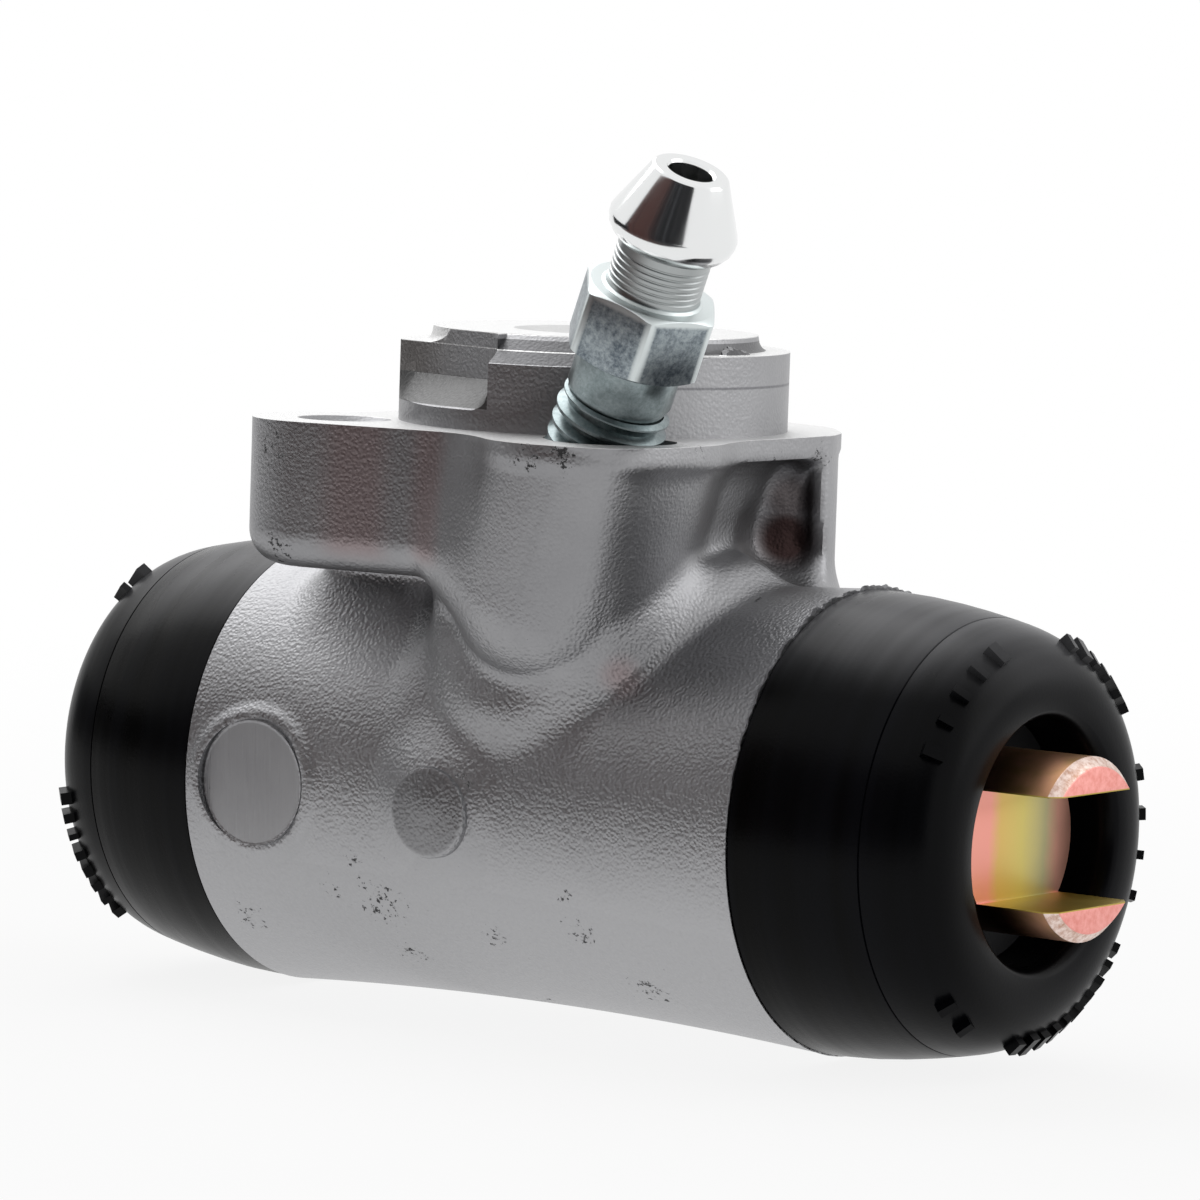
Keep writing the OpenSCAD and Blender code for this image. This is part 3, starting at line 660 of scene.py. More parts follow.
def clean(mesh, gap=1e-6):
    """Merges doubles, drops empty faces and turns the faces outwards"""
    work = bmesh.new()
    work.from_mesh(mesh)
    bmesh.ops.remove_doubles(work, verts=work.verts, dist=gap)
    bmesh.ops.dissolve_degenerate(work, edges=work.edges, dist=gap)
    bmesh.ops.recalc_face_normals(work, faces=work.faces)
    work.to_mesh(mesh)
    work.free()


def soften(mesh, degrees):
    """Smooth shading, with edges sharper than the angle kept hard"""
    mesh.shade_smooth()
    mesh.set_sharp_from_angle(angle=math.radians(degrees))


def solid(name, mesh):
    """Links a mesh as an object at the origin"""
    piece = bpy.data.objects.new(name, mesh)
    bpy.context.scene.collection.objects.link(piece)
    return piece


def settle(piece):
    """Turns a piece's modifiers into its mesh"""
    done = bpy.data.meshes.new_from_object(piece.evaluated_get(bpy.context.evaluated_depsgraph_get()))
    piece.modifiers.clear()
    old, piece.data = piece.data, done
    bpy.data.meshes.remove(old)


def lift(piece):
    """Removes a scratch object and gives its mesh"""
    mesh = piece.data
    bpy.data.objects.remove(piece)
    return mesh


def combine(piece, operation, *others):
    """Applies boolean steps to a piece and removes the scratch objects"""
    for other in others:
        step = piece.modifiers.new("step", "BOOLEAN")
        step.operation = operation
        step.solver = "MANIFOLD"
        step.object = other
    settle(piece)
    for other in others:
        bpy.data.meshes.remove(lift(other))


def block(name, low, high):
    """A box between two corners in millimetres"""
    (x0, y0, z0), (x1, y1, z1) = low, high
    points = [(x, y, z) for x in (x0, x1) for y in (y0, y1) for z in (z0, z1)]
    faces = [(0, 1, 3, 2), (4, 6, 7, 5), (0, 4, 5, 1), (2, 3, 7, 6), (0, 2, 6, 4), (1, 5, 7, 3)]
    return mesh_from(name, points, faces)


def rod(name, radius, low, high, steps=64):
    """A cylinder along Z"""
    return revolve(name, [(0, low), (radius, low), (radius, high), (0, high)], steps)


def turned(mesh, axis, at=(0, 0, 0)):
    """Turns a shape drawn along Z on to an axis through a point in millimetres"""
    spin = Vector((0, 0, 1)).rotation_difference(Vector(axis)).to_matrix().to_4x4()
    mesh.transform(Matrix.Translation(Vector(at) * MM) @ spin)
    return mesh


# Casting: a field that is negative inside the metal, in millimetres

def round_join(a, b, r):
    """Union of two fields with a fillet of radius r"""
    return np.maximum(r, np.minimum(a, b)) - np.hypot(np.maximum(r - a, 0), np.maximum(r - b, 0))


def round_meet(a, b, r):
    """Intersection of two fields with an edge rounded to r"""
    return np.minimum(-r, np.maximum(a, b)) + np.hypot(np.maximum(r + a, 0), np.maximum(r + b, 0))


def smooth_step(value, low, high):
    t = np.clip((value - low) / (high - low), 0, 1)
    return t * t * (3 - 2 * t)


def outline_field(x, y, corners, r):
    """Distance to a convex outline whose corners are rounded to r"""
    ring = np.array(corners, float)
    centre = ring.mean(axis=0)
    field = None
    for a, b in zip(ring, np.roll(ring, -1, axis=0)):
        normal = np.array([b[1] - a[1], a[0] - b[0]]) / np.hypot(*(b - a))
        if normal @ (a - centre) < 0:
            normal = -normal
        side = normal[0] * (x - a[0]) + normal[1] * (y - a[1])
        field = side if field is None else round_meet(field, side, r)
    return field


def taper_field(x, y, z, a, b, ra, rb):
    """Distance to a rod from a to b whose radius runs from ra to rb; z None keeps it in plan"""
    a, b = np.array(a, float), np.array(b, float)
    run = b - a
    parts = (x, y) if z is None else (x, y, z)
    offs = [p - c for p, c in zip(parts, a)]
    share = np.clip(sum(o * r for o, r in zip(offs, run)) / (run @ run), 0, 1)
    square = sum((o - share * r) ** 2 for o, r in zip(offs, run))
    return np.sqrt(square) - (ra + (rb - ra) * share)


def casting_field(x, y, z, s):
    """The rough casting, before its faces and holes are machined"""
    up = z + FACE_H
    reach = np.hypot(y, up)
    bow = s.waist * (x / BARREL_HALF) ** 2
    barrel = reach - (BARREL_R - s.waist + bow)

    # Saddle: a raised band round the barrel, its lower edge drawn as it is seen from the front
    edge = [(13.4, 11.4), (13.4, 30.0), (-4.8, 30.0), (-4.8, 13.4), (-3.6, 7.8), (2.2, 3.5), (10.6, 8.1)]
    saddle = outline_field(x, up, edge, 3.5)
    fade = 1.5 * smooth_step(-x, -2.5, 4.6) + 0.8 * smooth_step(x, 7.5, 12.0)
    wall = np.abs(y) - s.saddle_y - math.tan(s.saddle_draft) * up
    front = round_meet(reach - s.saddle_r + fade, wall, 3.5)
    saddle = round_meet(saddle, front, 2.5)
    metal = round_join(barrel, saddle, 3.0)

    # Pedestal with its rear web, and the block under the ears
    plan = [(13.2, -11.8), (12.9, -4.0), (11.6, 4.0), (10.2, 10.4), (8.0, 13.2), (-2.6, 13.2), (-4.5, 11.8),
            (-4.5, -11.8)]
    web = [(s.flange_flat, 4.8), (s.flange_flat, 7.0), (9.0, 12.2), (4.0, 12.8), (6.0, 9.0)]
    lean = x - 0.22 * z * smooth_step(x, 2.0, 8.0) * smooth_step(-y, -5.0, -3.0)
    pedestal = round_join(outline_field(lean, y, plan, 2.2), outline_field(x, y, web, 1.2), 2.5)
    under = outline_field(x, y, [(-14.8, -8.2), (-14.8, 8.2), (0.0, 8.2), (0.0, -8.2)], 1.2)
    pedestal = round_join(pedestal, under, 2.5)
    metal = round_join(metal, np.maximum(pedestal, -up), 1.8 + 1.2 * smooth_step(-x, 3.0, 6.0))

    # Boss round the bleeder, closed below by a half sphere, that runs out softly into the pocket
    top = np.array(BLEEDER_AT) + 4.0 * np.array(BLEEDER_AXIS)
    low = np.array(BLEEDER_AT) - s.boss_len * np.array(BLEEDER_AXIS)
    boss = taper_field(x, y, z, top, low, s.boss_r + 0.8, s.boss_r)
    boss = round_meet(boss, x - s.boss_flat - 0.3 * z, 1.6)
    metal = round_join(metal, boss, 1.2 + 1.8 * smooth_step(x, 9.0, 12.0))

    # Deep end of the pocket, beside the rear web
    hole = [((p - c) / r) ** 2 for p, c, r in zip((x, y, z), s.hole_at, (2.1, 1.8, 2.2))]
    metal = round_meet(metal, 2.1 * (1 - np.sqrt(sum(hole))), 2.0)

    # Bolt ears, and the flange with a lobe round the bleeder; its fillet is as wide as it overhangs
    disc = round_meet(np.hypot(x, y) - s.flange_r, x - s.flange_flat, 1.5)
    lobe = np.hypot(x - BLEEDER_AT.x, y - BLEEDER_AT.y) - s.lobe_r
    lobe = round_meet(lobe, x - s.flange_flat - 1.9, 1.5)
    ear_join = 1.0 + 2.2 * smooth_step(x, -5.0, -1.5)
    for side in (-1, 1):
        ear = taper_field(x, y, None, (-BOLT_X, side * BOLT_Y), (-1.2, side * 9.4), s.ear_r, s.ear_r - 0.1)
        metal = round_join(metal, round_meet(ear, -(z + s.ear_h), s.ear_round), ear_join)
        disc = round_join(disc, ear, 0.3)
    rim = round_join(disc, lobe, 2.5)
    flange = round_meet(rim, -(z + s.flange_t), 0.5)
    metal = round_join(metal, flange, np.clip(metal - rim, 0.02, 2.0))

    # Swelling under the small side boss
    swell = np.sqrt((x + 1.6) ** 2 + (up - 0.1) ** 2 + (y + 9.6) ** 2) - 4.75
    metal = round_join(metal, swell, 1.8)

    # Lip round the ejector pad
    lip = np.hypot(np.hypot(x - s.pad_x, up + 0.1) - s.pad_r - 0.3, barrel + 0.1) - 0.3
    return round_join(metal, np.maximum(lip, y), 0.5)


def surface_net(field, low, high, step):
    """Closed quads on the zero level of a field of (x, y, z), with its points pulled on to the surface"""
    ticks = [np.arange(a, b + step, step) for a, b in zip(low, high)]
    grids = np.meshgrid(*ticks, indexing="ij", sparse=True)
    inside = field(*grids) < 0
    shape = tuple(n - 1 for n in inside.shape)
    corners = [(i, j, k) for i in (0, 1) for j in (0, 1) for k in (0, 1)]
    count = sum(inside[i:shape[0] + i, j:shape[1] + j, k:shape[2] + k].astype(np.int8) for i, j, k in corners)
    mixed = (count > 0) & (count < 8)
    number = np.full(shape, -1, np.int64)
    number[mixed] = np.arange(mixed.sum())
    points = np.argwhere(mixed) * step + np.array([t[0] for t in ticks]) + step / 2
    quads = []
    for axis in range(3):
        after = np.moveaxis(inside, axis, 0)
        cells = np.moveaxis(number, axis, 0)
        change = after[1:, 1:-1, 1:-1] != after[:-1, 1:-1, 1:-1]
        a, b, c = np.nonzero(change)
        ring = np.stack([cells[a, b, c], cells[a, b + 1, c], cells[a, b + 1, c + 1], cells[a, b, c + 1]], 1)
        outward = after[:-1, 1:-1, 1:-1][a, b, c]
        ring[~outward] = ring[~outward][:, ::-1]
        quads.append(ring if axis != 1 else ring[:, ::-1])
    quads = np.concatenate(quads)
    for turn in range(4):
        points = pull(field, points, step)
        if turn < 3:
            points = relax(points, quads)
    return pull(field, points, step), quads


def pull(field, points, step):
    """Moves points along the field's slope on to its zero level"""
    nudge = 0.02 * step
    for _ in range(2):
        x, y, z = points.T
        value = field(x, y, z)
        slope = np.stack([field(x + nudge, y, z) - field(x - nudge, y, z),
                          field(x, y + nudge, z) - field(x, y - nudge, z),
                          field(x, y, z + nudge) - field(x, y, z - nudge)], 1) / (2 * nudge)
        square = np.maximum((slope ** 2).sum(1), 0.25)
        points = points - np.clip(value / square, -step, step)[:, None] * slope
    return points


def relax(points, quads):
    """Moves each point halfway to the mean of its neighbours"""
    total = np.zeros_like(points)
    share = np.zeros(len(points))
    for i in range(4):
        a, b = quads[:, i], quads[:, (i + 1) % 4]
        np.add.at(total, a, points[b])
        np.add.at(share, a, 1)
    return 0.5 * points + 0.5 * total / np.maximum(share, 1)[:, None]


def bevelled(piece, width, degrees=35, rows=2):
    """Rounds the hard edges of a piece"""
    step = piece.modifiers.new("edge", "BEVEL")
    step.width = width * MM
    step.segments = rows
    step.limit_method = "ANGLE"
    step.angle_limit = math.radians(degrees)
    settle(piece)


def join(name, *meshes):
    """One mesh from several"""
    work = bmesh.new()
    for mesh in meshes:
        work.from_mesh(mesh)
        bpy.data.meshes.remove(mesh)
    mesh = bpy.data.meshes.new(name)
    work.to_mesh(mesh)
    work.free()
    return mesh


def tapped(radius, low, high, chamfer=0.4):
    """Cutter for a threaded hole along Z with a chamfered mouth"""
    wide = radius + chamfer
    spare = high + 8
    section = [(0, low), (radius, low), (radius, high - chamfer), (wide, high), (wide, spare), (0, spare)]
    return revolve("tapped", section, 64)


def helix_tree(name, material, profile):
    """A wire or a thread ridge that winds round Z: the profile is round or a trapezoid"""
    graph = Graph(name, {"Radius": 0.003, "Pitch": 0.001, "Length": 0.004, "Depth": 0.0006, "Root": 0.0008,
                         "Crest": 0.0002})
    values = graph.inputs
    spiral = graph.node("GeometryNodeCurveSpiral", None, {
        "Resolution": 56, "Rotations": values["Length"] / values["Pitch"], "Start Radius": values["Radius"],
        "End Radius": values["Radius"], "Height": values["Length"]})
    spiral = graph.node("GeometryNodeSetCurveNormal", {"mode": "Z_UP"}, {"Curve": spiral})
    along = graph.outs(graph.node("GeometryNodeSplineParameter"))["Factor"]
    if profile == "ROUND":
        shape = graph.node("GeometryNodeCurvePrimitiveCircle", None,
                           {"Resolution": 16, "Radius": values["Depth"]})
        fade = 1.0
    else:
        shape = graph.node("GeometryNodeCurvePrimitiveQuadrilateral", {"mode": "TRAPEZOID"}, {
            "Height": values["Depth"], "Bottom Width": values["Root"], "Top Width": values["Crest"],
            "Offset": 0.0})
        quarter = (0, 0, math.pi / 2)
        shape = graph.node("GeometryNodeTransform", None, {"Geometry": shape, "Rotation": quarter})
        fade = graph.node("ShaderNodeMath", {"operation": "MULTIPLY", "use_clamp": True},
                          {0: 1.0 - along, 1: 9.0})
    mesh = graph.node("GeometryNodeCurveToMesh", None, {
        "Curve": spiral, "Profile Curve": shape, "Fill Caps": True, "Scale": fade})
    graph.end(mesh, material)
    return graph


def pip_tree(name, material):
    """A row of plain raised pips on an arc round Z, each a block of its own size"""
    graph = Graph(name, {"Count": 5, "Radius": 0.0113, "Height": 0.0, "Start": 0.0, "Sweep": 1.0, "Tilt": 0.8,
                         "Seed": 1})
    values = graph.inputs
    index = graph.node("GeometryNodeInputIndex")
    angle = values["Start"] + values["Sweep"] * index / (values["Count"] - 1.0 | 1.0)
    cos = graph.node("ShaderNodeMath", {"operation": "COSINE"}, {0: angle})
    sin = graph.node("ShaderNodeMath", {"operation": "SINE"}, {0: angle})
    place = graph.node("ShaderNodeCombineXYZ", None, {0: values["Radius"] * cos, 1: values["Radius"] * sin,
                                                      2: values["Height"]})
    turn = graph.node("ShaderNodeCombineXYZ", None, {0: 0.0, 1: values["Tilt"], 2: angle})
    points = graph.node("GeometryNodePoints", None, {"Count": values["Count"], "Position": place})
    block = graph.node("GeometryNodeMeshCube", None, {"Size": (0.0013, 0.0006, 0.0007)})
    grow = graph.node("FunctionNodeRandomValue", {"data_type": "FLOAT_VECTOR"},
                      {0: (0.75, 0.7, 0.9), 1: (1.2, 1.35, 1.1), "Seed": values["Seed"]})
    pips = graph.node("GeometryNodeInstanceOnPoints", None, {
        "Points": points, "Instance": block, "Rotation": turn, "Scale": grow})
    graph.end(pips, material)
    return graph


def pilot_mesh(s):
    """Pilot boss with its land, keying flat and wrench relief"""
    top, rim = s.pilot_h, s.pilot_h - s.land_step
    section = [(0, -0.5), (PILOT_R, -0.5), (PILOT_R, rim)]
    section += [(s.land_r + 0.65 * (1 - t), rim + s.land_step * (1 - math.sqrt(1 - t * t)))
                for t in np.linspace(0, 1, 9)]
    boss = solid("pilot", revolve("pilot", section + [(0, top)], 160))
    wide = [(math.radians(a), s.land_r + 1.2 - 1.2 * smooth_step(a, 300, 330)) for a in range(252, 331, 3)]
    shelf = sector("shelf", [(a, [(4, 3), (r, 3), (r, top - 0.01), (4, top - 0.01)]) for a, r in wide])
    combine(boss, "UNION", solid("shelf", shelf))
    cuts = []
    for t in np.linspace(0, 1, 41):
        low = s.relief_low + (rim + 0.1 - s.relief_low) * smooth_step(t, 0.2, 1.0)
        slope = (s.relief_high - low) / (PILOT_R - s.relief_r)
        back = s.relief_r - 0.45
        cuts.append((s.relief_start + s.relief_sweep * t,
                     [(back, s.relief_high + 0.45), (s.relief_r, s.relief_high), (PILOT_R + 1, low - slope),
                      (PILOT_R + 1, 9), (back, 9)]))
    combine(boss, "DIFFERENCE", solid("key", key_mesh(s)), solid("relief", sector("relief", cuts)))
    bevelled(boss, 0.1)
    boss.data.transform(Matrix.Translation((-s.pilot_shift * MM, 0, 0)))
    return boss


def key_mesh(s):
    """Cutter for the keying flat: a wall over a slope, rounded where it ends"""
    flat = PILOT_R - s.key_depth
    reach = math.sqrt(PILOT_R ** 2 - flat ** 2)
    rings = []
    for y in np.linspace(-reach - 0.3, s.key_end, 60):
        turn = 1 - math.sqrt(1 - min(max(y - s.key_end + 1.3, 0) / 1.3, 1) ** 2)
        inner = flat + 1.3 * turn
        outer = max(math.sqrt(PILOT_R ** 2 - y * y), inner + 0.03)
        foot = s.key_low - 1.8 + 0.45 * (min(y, 0) / reach) ** 2 + turn
        rings.append([(inner, y, 9), (inner, y, s.key_low), (outer, y, foot), (19, y, foot), (19, y, 9)])
    mesh = loft("key", rings)
    mesh.transform(Matrix.Rotation(s.key_turn, 4, "Z"))
    return mesh


def burr(s, rng):
    """Crumpled burr where the wrench relief runs out"""
    cuts = []
    for t in np.linspace(0, 1, 17):
        high = s.pilot_h - s.land_step - 0.1 + 0.7 * math.sin(math.pi * t) ** 0.7 * rng.uniform(0.5, 1.0)
        inner = 10.5 + 0.5 * rng.random()
        cuts.append((math.radians(-10.5 + 15.0 * t),
                     [(inner - 0.3, 4.5), (inner, high), (inner + 0.4, high - 0.1), (11.6, 4.5)]))
    mesh = sector("burr", cuts)
    mesh.transform(Matrix.Translation((-s.pilot_shift * MM, 0, 0)))
    return mesh


def flash_ring(radius, rng):
    """Crinkled fringe of flash where the right boot meets the barrel"""
    steps = 420
    rough = rng.random(steps)
    for _ in range(2):
        rough = (rough + np.roll(rough, 1)) / 2
    angle = np.arange(steps) * 2 * math.pi / steps
    rise = np.clip(np.cos(angle - 1.3), 0, 1) ** 2
    outer = radius + 0.03 + (0.6 * rough - 0.15) * rise
    rings = []
    for i, (a, r) in enumerate(zip(angle, outer)):
        lean = 0.25 * rise[i] * rough[(i * 7) % steps]
        section = ((radius - 0.6, -0.25), (r - 0.1, -0.1), (r, 0.05 + lean), (radius - 0.6, 0.0))
        rings.append([(at, -reach * math.cos(a), reach * math.sin(a)) for reach, at in section])
    mesh = loft("flash", rings, True)
    mesh.transform(Matrix.Translation((BARREL_HALF * MM, 0, -FACE_H * MM)))
    return mesh


def neck_section(s):
    """Neck under each boot with its bead groove, as (radius, distance from mid length)"""
    half = [(s.neck_r, BARREL_HALF - 0.3), (s.neck_r, BARREL_HALF + 1.3), (s.neck_r - 0.9, BARREL_HALF + 1.3),
            (s.neck_r - 0.9, BARREL_HALF + 3.3), (s.neck_r, BARREL_HALF + 3.3), (s.neck_r, END_X - 0.3),
            (s.neck_r - 0.3, END_X)]
    return [(0, -END_X)] + [(r, -x) for r, x in reversed(half)] + half + [(0, END_X)]


class WHEELCYL_OT_body(bpy.types.Operator):
    """Cast body with its machined faces, bores and threads"""

    bl_idname = "wheelcyl.body"
    bl_label = "Cast body"

    def execute(self, context):
        s = context.scene.wheelcyl_casting
        low = (-BARREL_HALF - 1.5, -20.0, -FACE_H - BARREL_R - 1.5)
        high = (BARREL_HALF + 1.5, 19.0, 2.5)
        points, quads = surface_net(lambda x, y, z: self.rough(x, y, z, s), low, high, s.grid)
        body = solid("cast_body", mesh_from("cast_body", points, quads))
        slab = block("slab", (-BARREL_HALF, -30, -60), (BARREL_HALF, 30, 0))
        combine(body, "INTERSECT", solid("slab", slab))
        pad_at, button_at = (s.pad_x, 0, -FACE_H - 0.1), (s.button_x, 0, -FACE_H - 0.5)
        pad = turned(rod("pad", s.pad_r, s.pad_face, s.pad_face + 5), (0, -1, 0), pad_at)
        combine(body, "DIFFERENCE", solid("pad", pad))
        plug = turned(rod("plug", s.pad_r - 0.12, 8.0, s.pad_face + 0.1), (0, -1, 0), pad_at)
        button = solid("button", turned(rod("button", s.button_r, 8.0, s.button_face), (0, -1, 0), button_at))
        bevelled(button, 0.25)
        neck = turned(revolve("neck", neck_section(s), 128), BORE_AXIS, BORE_AT)
        combine(body, "UNION", solid("plug", plug), button, solid("neck", neck), pilot_mesh(s))
        combine(body, "DIFFERENCE", *self.cutters(s))
        finish = cast_aluminium(s)
        thread = helix_tree("tapped_thread", finish, "TRAPEZOID")
        rng = np.random.default_rng(7)
        mesh = join("cast_body", lift(body), flash_ring(BARREL_R, rng), burr(s, rng),
                    *self.threads(thread, s))
        soften(mesh, 32)
        body = add_piece("cast_body", mesh, finish)
        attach(body, "cylinder")
        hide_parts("body")
        return {"FINISHED"}

    @staticmethod
    def rough(x, y, z, s):
        """The casting with spare metal for the machined faces"""
        metal = np.maximum(casting_field(x, y, z, s), z - 1.2)
        return np.maximum(metal, np.abs(x) - BARREL_HALF - 0.7)

    @staticmethod
    def cutters(s):
        """Bore, bolt holes, inlet and bleeder hole"""
        bore = turned(rod("bore", s.bore_r, -END_X - 1, END_X + 1, 128), BORE_AXIS, BORE_AT)
        made = [solid("bore", bore)]
        for side in (-1, 1):
            hole = tapped(BOLT_R, -s.ear_h - 0.4, 0.0)
            made.append(solid("bolt", turned(hole, (0, 0, 1), (-BOLT_X, side * BOLT_Y, 0))))
        made.append(solid("inlet", tapped(INLET_R, s.pilot_h - 11.8, s.pilot_h, 1.0)))
        wide = s.thread_r + 0.7
        bleed = revolve("bleed", [(0, -11.5), (s.thread_r, -11.5), (s.thread_r, -0.6), (wide, 0.9), (wide, 7),
                                  (0, 7)], 64)
        made.append(solid("bleed", turned(bleed, BLEEDER_AXIS, BLEEDER_AT)))
        return made

    @staticmethod
    def threads(tree, s):
        """Thread ridges in the bolt ears and the inlet"""
        for side in (-1, 1):
            ridge = tree.mesh("ridge", Radius=BOLT_R * MM, Pitch=PITCH, Length=0.0078, Depth=-0.0005)
            ridge.transform(Matrix.Translation((-BOLT_X * MM, side * BOLT_Y * MM, -0.0084)))
            yield ridge
        ridge = tree.mesh("ridge", Radius=INLET_R * MM, Pitch=PITCH, Length=0.009, Depth=-0.0006)
        ridge.transform(Matrix.Translation((0, 0, s.pilot_h * MM - 0.0108)))
        yield ridge


class WHEELCYL_OT_bleeder(bpy.types.Operator):
    """Bleeder screw with its thread, hexagon, turned neck and hose cone"""

    bl_idname = "wheelcyl.bleeder"
    bl_label = "Bleeder screw"

    def execute(self, context):
        s = context.scene.wheelcyl_bleeder
        finish = bright_zinc(s)
        thread = helix_tree("bleeder_thread", finish, "TRAPEZOID")
        ridge = thread.mesh("ridge", Radius=(s.thread_r - 0.28) * MM, Pitch=PITCH, Length=0.0118,
                            Depth=0.00056)
        ridge.transform(Matrix.Translation((0, 0, -0.0086)))
        mesh = join("bleeder", self.stem(s), self.hexagon(s), ridge)
        spin = Matrix.Rotation(s.lean_turn, 4, "Z") @ Matrix.Rotation(s.lean, 4, "Y")
        mesh.transform(Matrix.Translation(BLEEDER_AT * MM) @ spin)
        soften(mesh, 28)
        piece = add_piece("bleeder", mesh, finish)
        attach(piece, "bleeder")
        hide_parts("bleeder_screw")
        return {"FINISHED"}

    @staticmethod
    def stem(s):
        """Everything that is turned, as one section of (radius, height)"""
        core = s.thread_r - 0.56
        hex_low, hex_high = s.hex_low, s.hex_low + s.hex_h
        cone = hex_high + s.neck_h
        rim = cone + s.cone_h
        section = [(0, -11.3), (core - 0.8, -11.3), (core, -10.2), (core, 2.7), (s.shank_r, 3.3),
                   (s.shank_r, hex_low + 0.3), (s.shank_r, hex_high - 0.3),
                   (s.neck_r + 0.25, hex_high + 0.02), (s.neck_r + 0.08, hex_high + 0.14)]
        groove = hex_high + 0.3
        while groove < cone - 0.5:
            section += [(s.neck_r, groove), (s.neck_r, groove + 0.16), (s.neck_r - 0.07, groove + 0.22),
                        (s.neck_r - 0.07, groove + 0.28), (s.neck_r, groove + 0.34)]
            groove += 0.38
        section += [(s.neck_r, cone), (s.neck_r + 0.3, cone + 0.12), (s.cone_r - 0.4, cone + 0.42),
                    (s.cone_r - 0.14, cone + 0.8), (s.cone_r - 0.02, cone + 1.2),
                    (s.cone_r - 0.02, cone + 1.5), (s.cone_r - 0.12, cone + 1.8),
                    (s.rim_r + 0.05, rim - 0.2), (s.rim_r - 0.02, rim - 0.08), (s.rim_r - 0.15, rim),
                    (s.hole_r + 0.15, rim), (s.hole_r, rim - 0.15), (s.hole_r, hex_low), (0, hex_low - 0.8)]
        return revolve("stem", section, 96)

    @staticmethod
    def hexagon(s):
        """Hexagon with its corners turned off at both ends"""
        corner = s.hex_af / math.sqrt(3)
        turns = [s.hex_turn + math.pi / 3 * k for k in range(6)]
        tips = [Vector((corner * math.cos(a), corner * math.sin(a))) for a in turns]
        ring = []
        for k, tip in enumerate(tips):
            a, b = (tip.lerp(tips[(k + turn) % 6], s.hex_worn / corner) for turn in (-1, 1))
            ring += [a, 0.25 * a + 0.5 * tip + 0.25 * b, b]
        count = len(ring)
        points = [(x, y, z) for z in (s.hex_low, s.hex_low + s.hex_h) for x, y in ring]
        faces = [tuple(range(count - 1, -1, -1)), tuple(range(count, 2 * count))]
        faces += [(k, (k + 1) % count, count + (k + 1) % count, count + k) for k in range(count)]
        nut = solid("nut", mesh_from("nut", points, faces))
        flat = s.hex_af / 2 - 0.05
        fall = (corner + 0.5 - flat) * 0.5
        high = s.hex_low + s.hex_h
        turn = revolve("turn", [(0, s.hex_low), (flat, s.hex_low), (corner + 0.5, s.hex_low + fall),
                                (corner + 0.5, high - fall), (flat, high), (0, high)], 96)
        combine(nut, "INTERSECT", solid("turn", turn))
        bevelled(nut, 0.07, 25)
        return lift(nut)


class WHEELCYL_OT_boots(bpy.types.Operator):
    """Rubber boots with a mould line, a rolled mouth and raised pips"""

    bl_idname = "wheelcyl.boots"
    bl_label = "Boots"

    def execute(self, context):
        s = context.scene.wheelcyl_boots
        rubber = boot_rubber(s)
        pips = pip_tree("boot_pips", rubber)
        arcs = {"right": ((30, 70, 5), (107, 141, 6), (164, 200, 4), (217, 273, 10), (301, 312, 2)),
                "left": ((56, 65, 2), (110, 150, 6), (200, 240, 5), (303, 347, 8))}
        for name, side in (("right", 1), ("left", -1)):
            rows = [pips.mesh("row", Count=count, Radius=s.pip_r * MM, Height=s.pip_x * MM,
                              Start=math.radians(a), Sweep=math.radians(b - a), Tilt=s.pip_tilt,
                              Seed=7 * count + side)
                    for a, b, count in arcs[name]]
            mesh = join("boot_" + name, revolve("skin", self.section(s), 160), *rows)
            out = Matrix(((0, 0, side, 0), (-1, 0, 0, 0), (0, 1, 0, 0), (0, 0, 0, 1)))
            mesh.transform(TO_BORE @ out)
            clean(mesh, 1e-7)
            soften(mesh, 40)
            boot = add_piece("rubber_boot_" + name, mesh, rubber)
            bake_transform(boot)
            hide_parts("boot_" + name)
        return {"FINISHED"}

    @staticmethod
    def section(s):
        """Section of a boot as (radius, distance from mid length)"""
        seam, line = BARREL_HALF, BARREL_HALF + s.skirt
        dome_r = BARREL_R - s.taper
        front = line + s.dome
        outer = [(BARREL_R - 0.25, seam), (BARREL_R - 0.05, seam + 0.15), (BARREL_R - 0.08, seam + 1.2)]
        outer += [(BARREL_R - 0.08 - (s.taper - 0.08) * t ** 1.6, seam + 1.2 + (s.skirt - 1.3) * t)
                  for t in (0.25, 0.5, 0.75, 1.0)]
        outer += [(dome_r - 0.02, line - 0.05), (dome_r - 0.16, line), (dome_r - 0.04, line + 0.07)]
        curve = [Vector(p) for p in ((dome_r - 0.05, line + 0.1), (dome_r - 0.55, line + 2.9),
                                     (s.dome_top_r + 2.5, front), (s.dome_top_r, front))]
        for k in range(1, 17):
            t = k / 16
            point = ((1 - t) ** 3 * curve[0] + 3 * t * (1 - t) ** 2 * curve[1]
                     + 3 * t * t * (1 - t) * curve[2] + t ** 3 * curve[3])
            outer.append(tuple(point))
        roll = (s.dome_top_r - s.mouth_r) / 2
        for k in range(1, 9):
            a = math.radians(90 + 90 * k / 8)
            outer.append((s.mouth_r + roll + roll * math.cos(a),
                          front - 1.6 * roll + 1.6 * roll * math.sin(a)))
        inner = [(s.mouth_r, 29.6), (s.nose_r, 28.95), (s.nose_r, 27.3), (s.mouth_r, 27.25),
                 (s.dome_top_r, 29.0)]
        for k in range(10, -1, -1):
            a = math.radians(90 * k / 10)
            inner.append((s.dome_top_r + (dome_r - 1.8 - s.dome_top_r) * math.cos(a),
                          line + (s.dome - 1.8) * math.sin(a)))
        wall, bead = 11.75, 10.85
        inner += [(wall, 26.2), (wall, 23.9), (bead, 23.9), (bead, 22.0), (wall, 22.0), (wall, seam)]
        return outer + inner


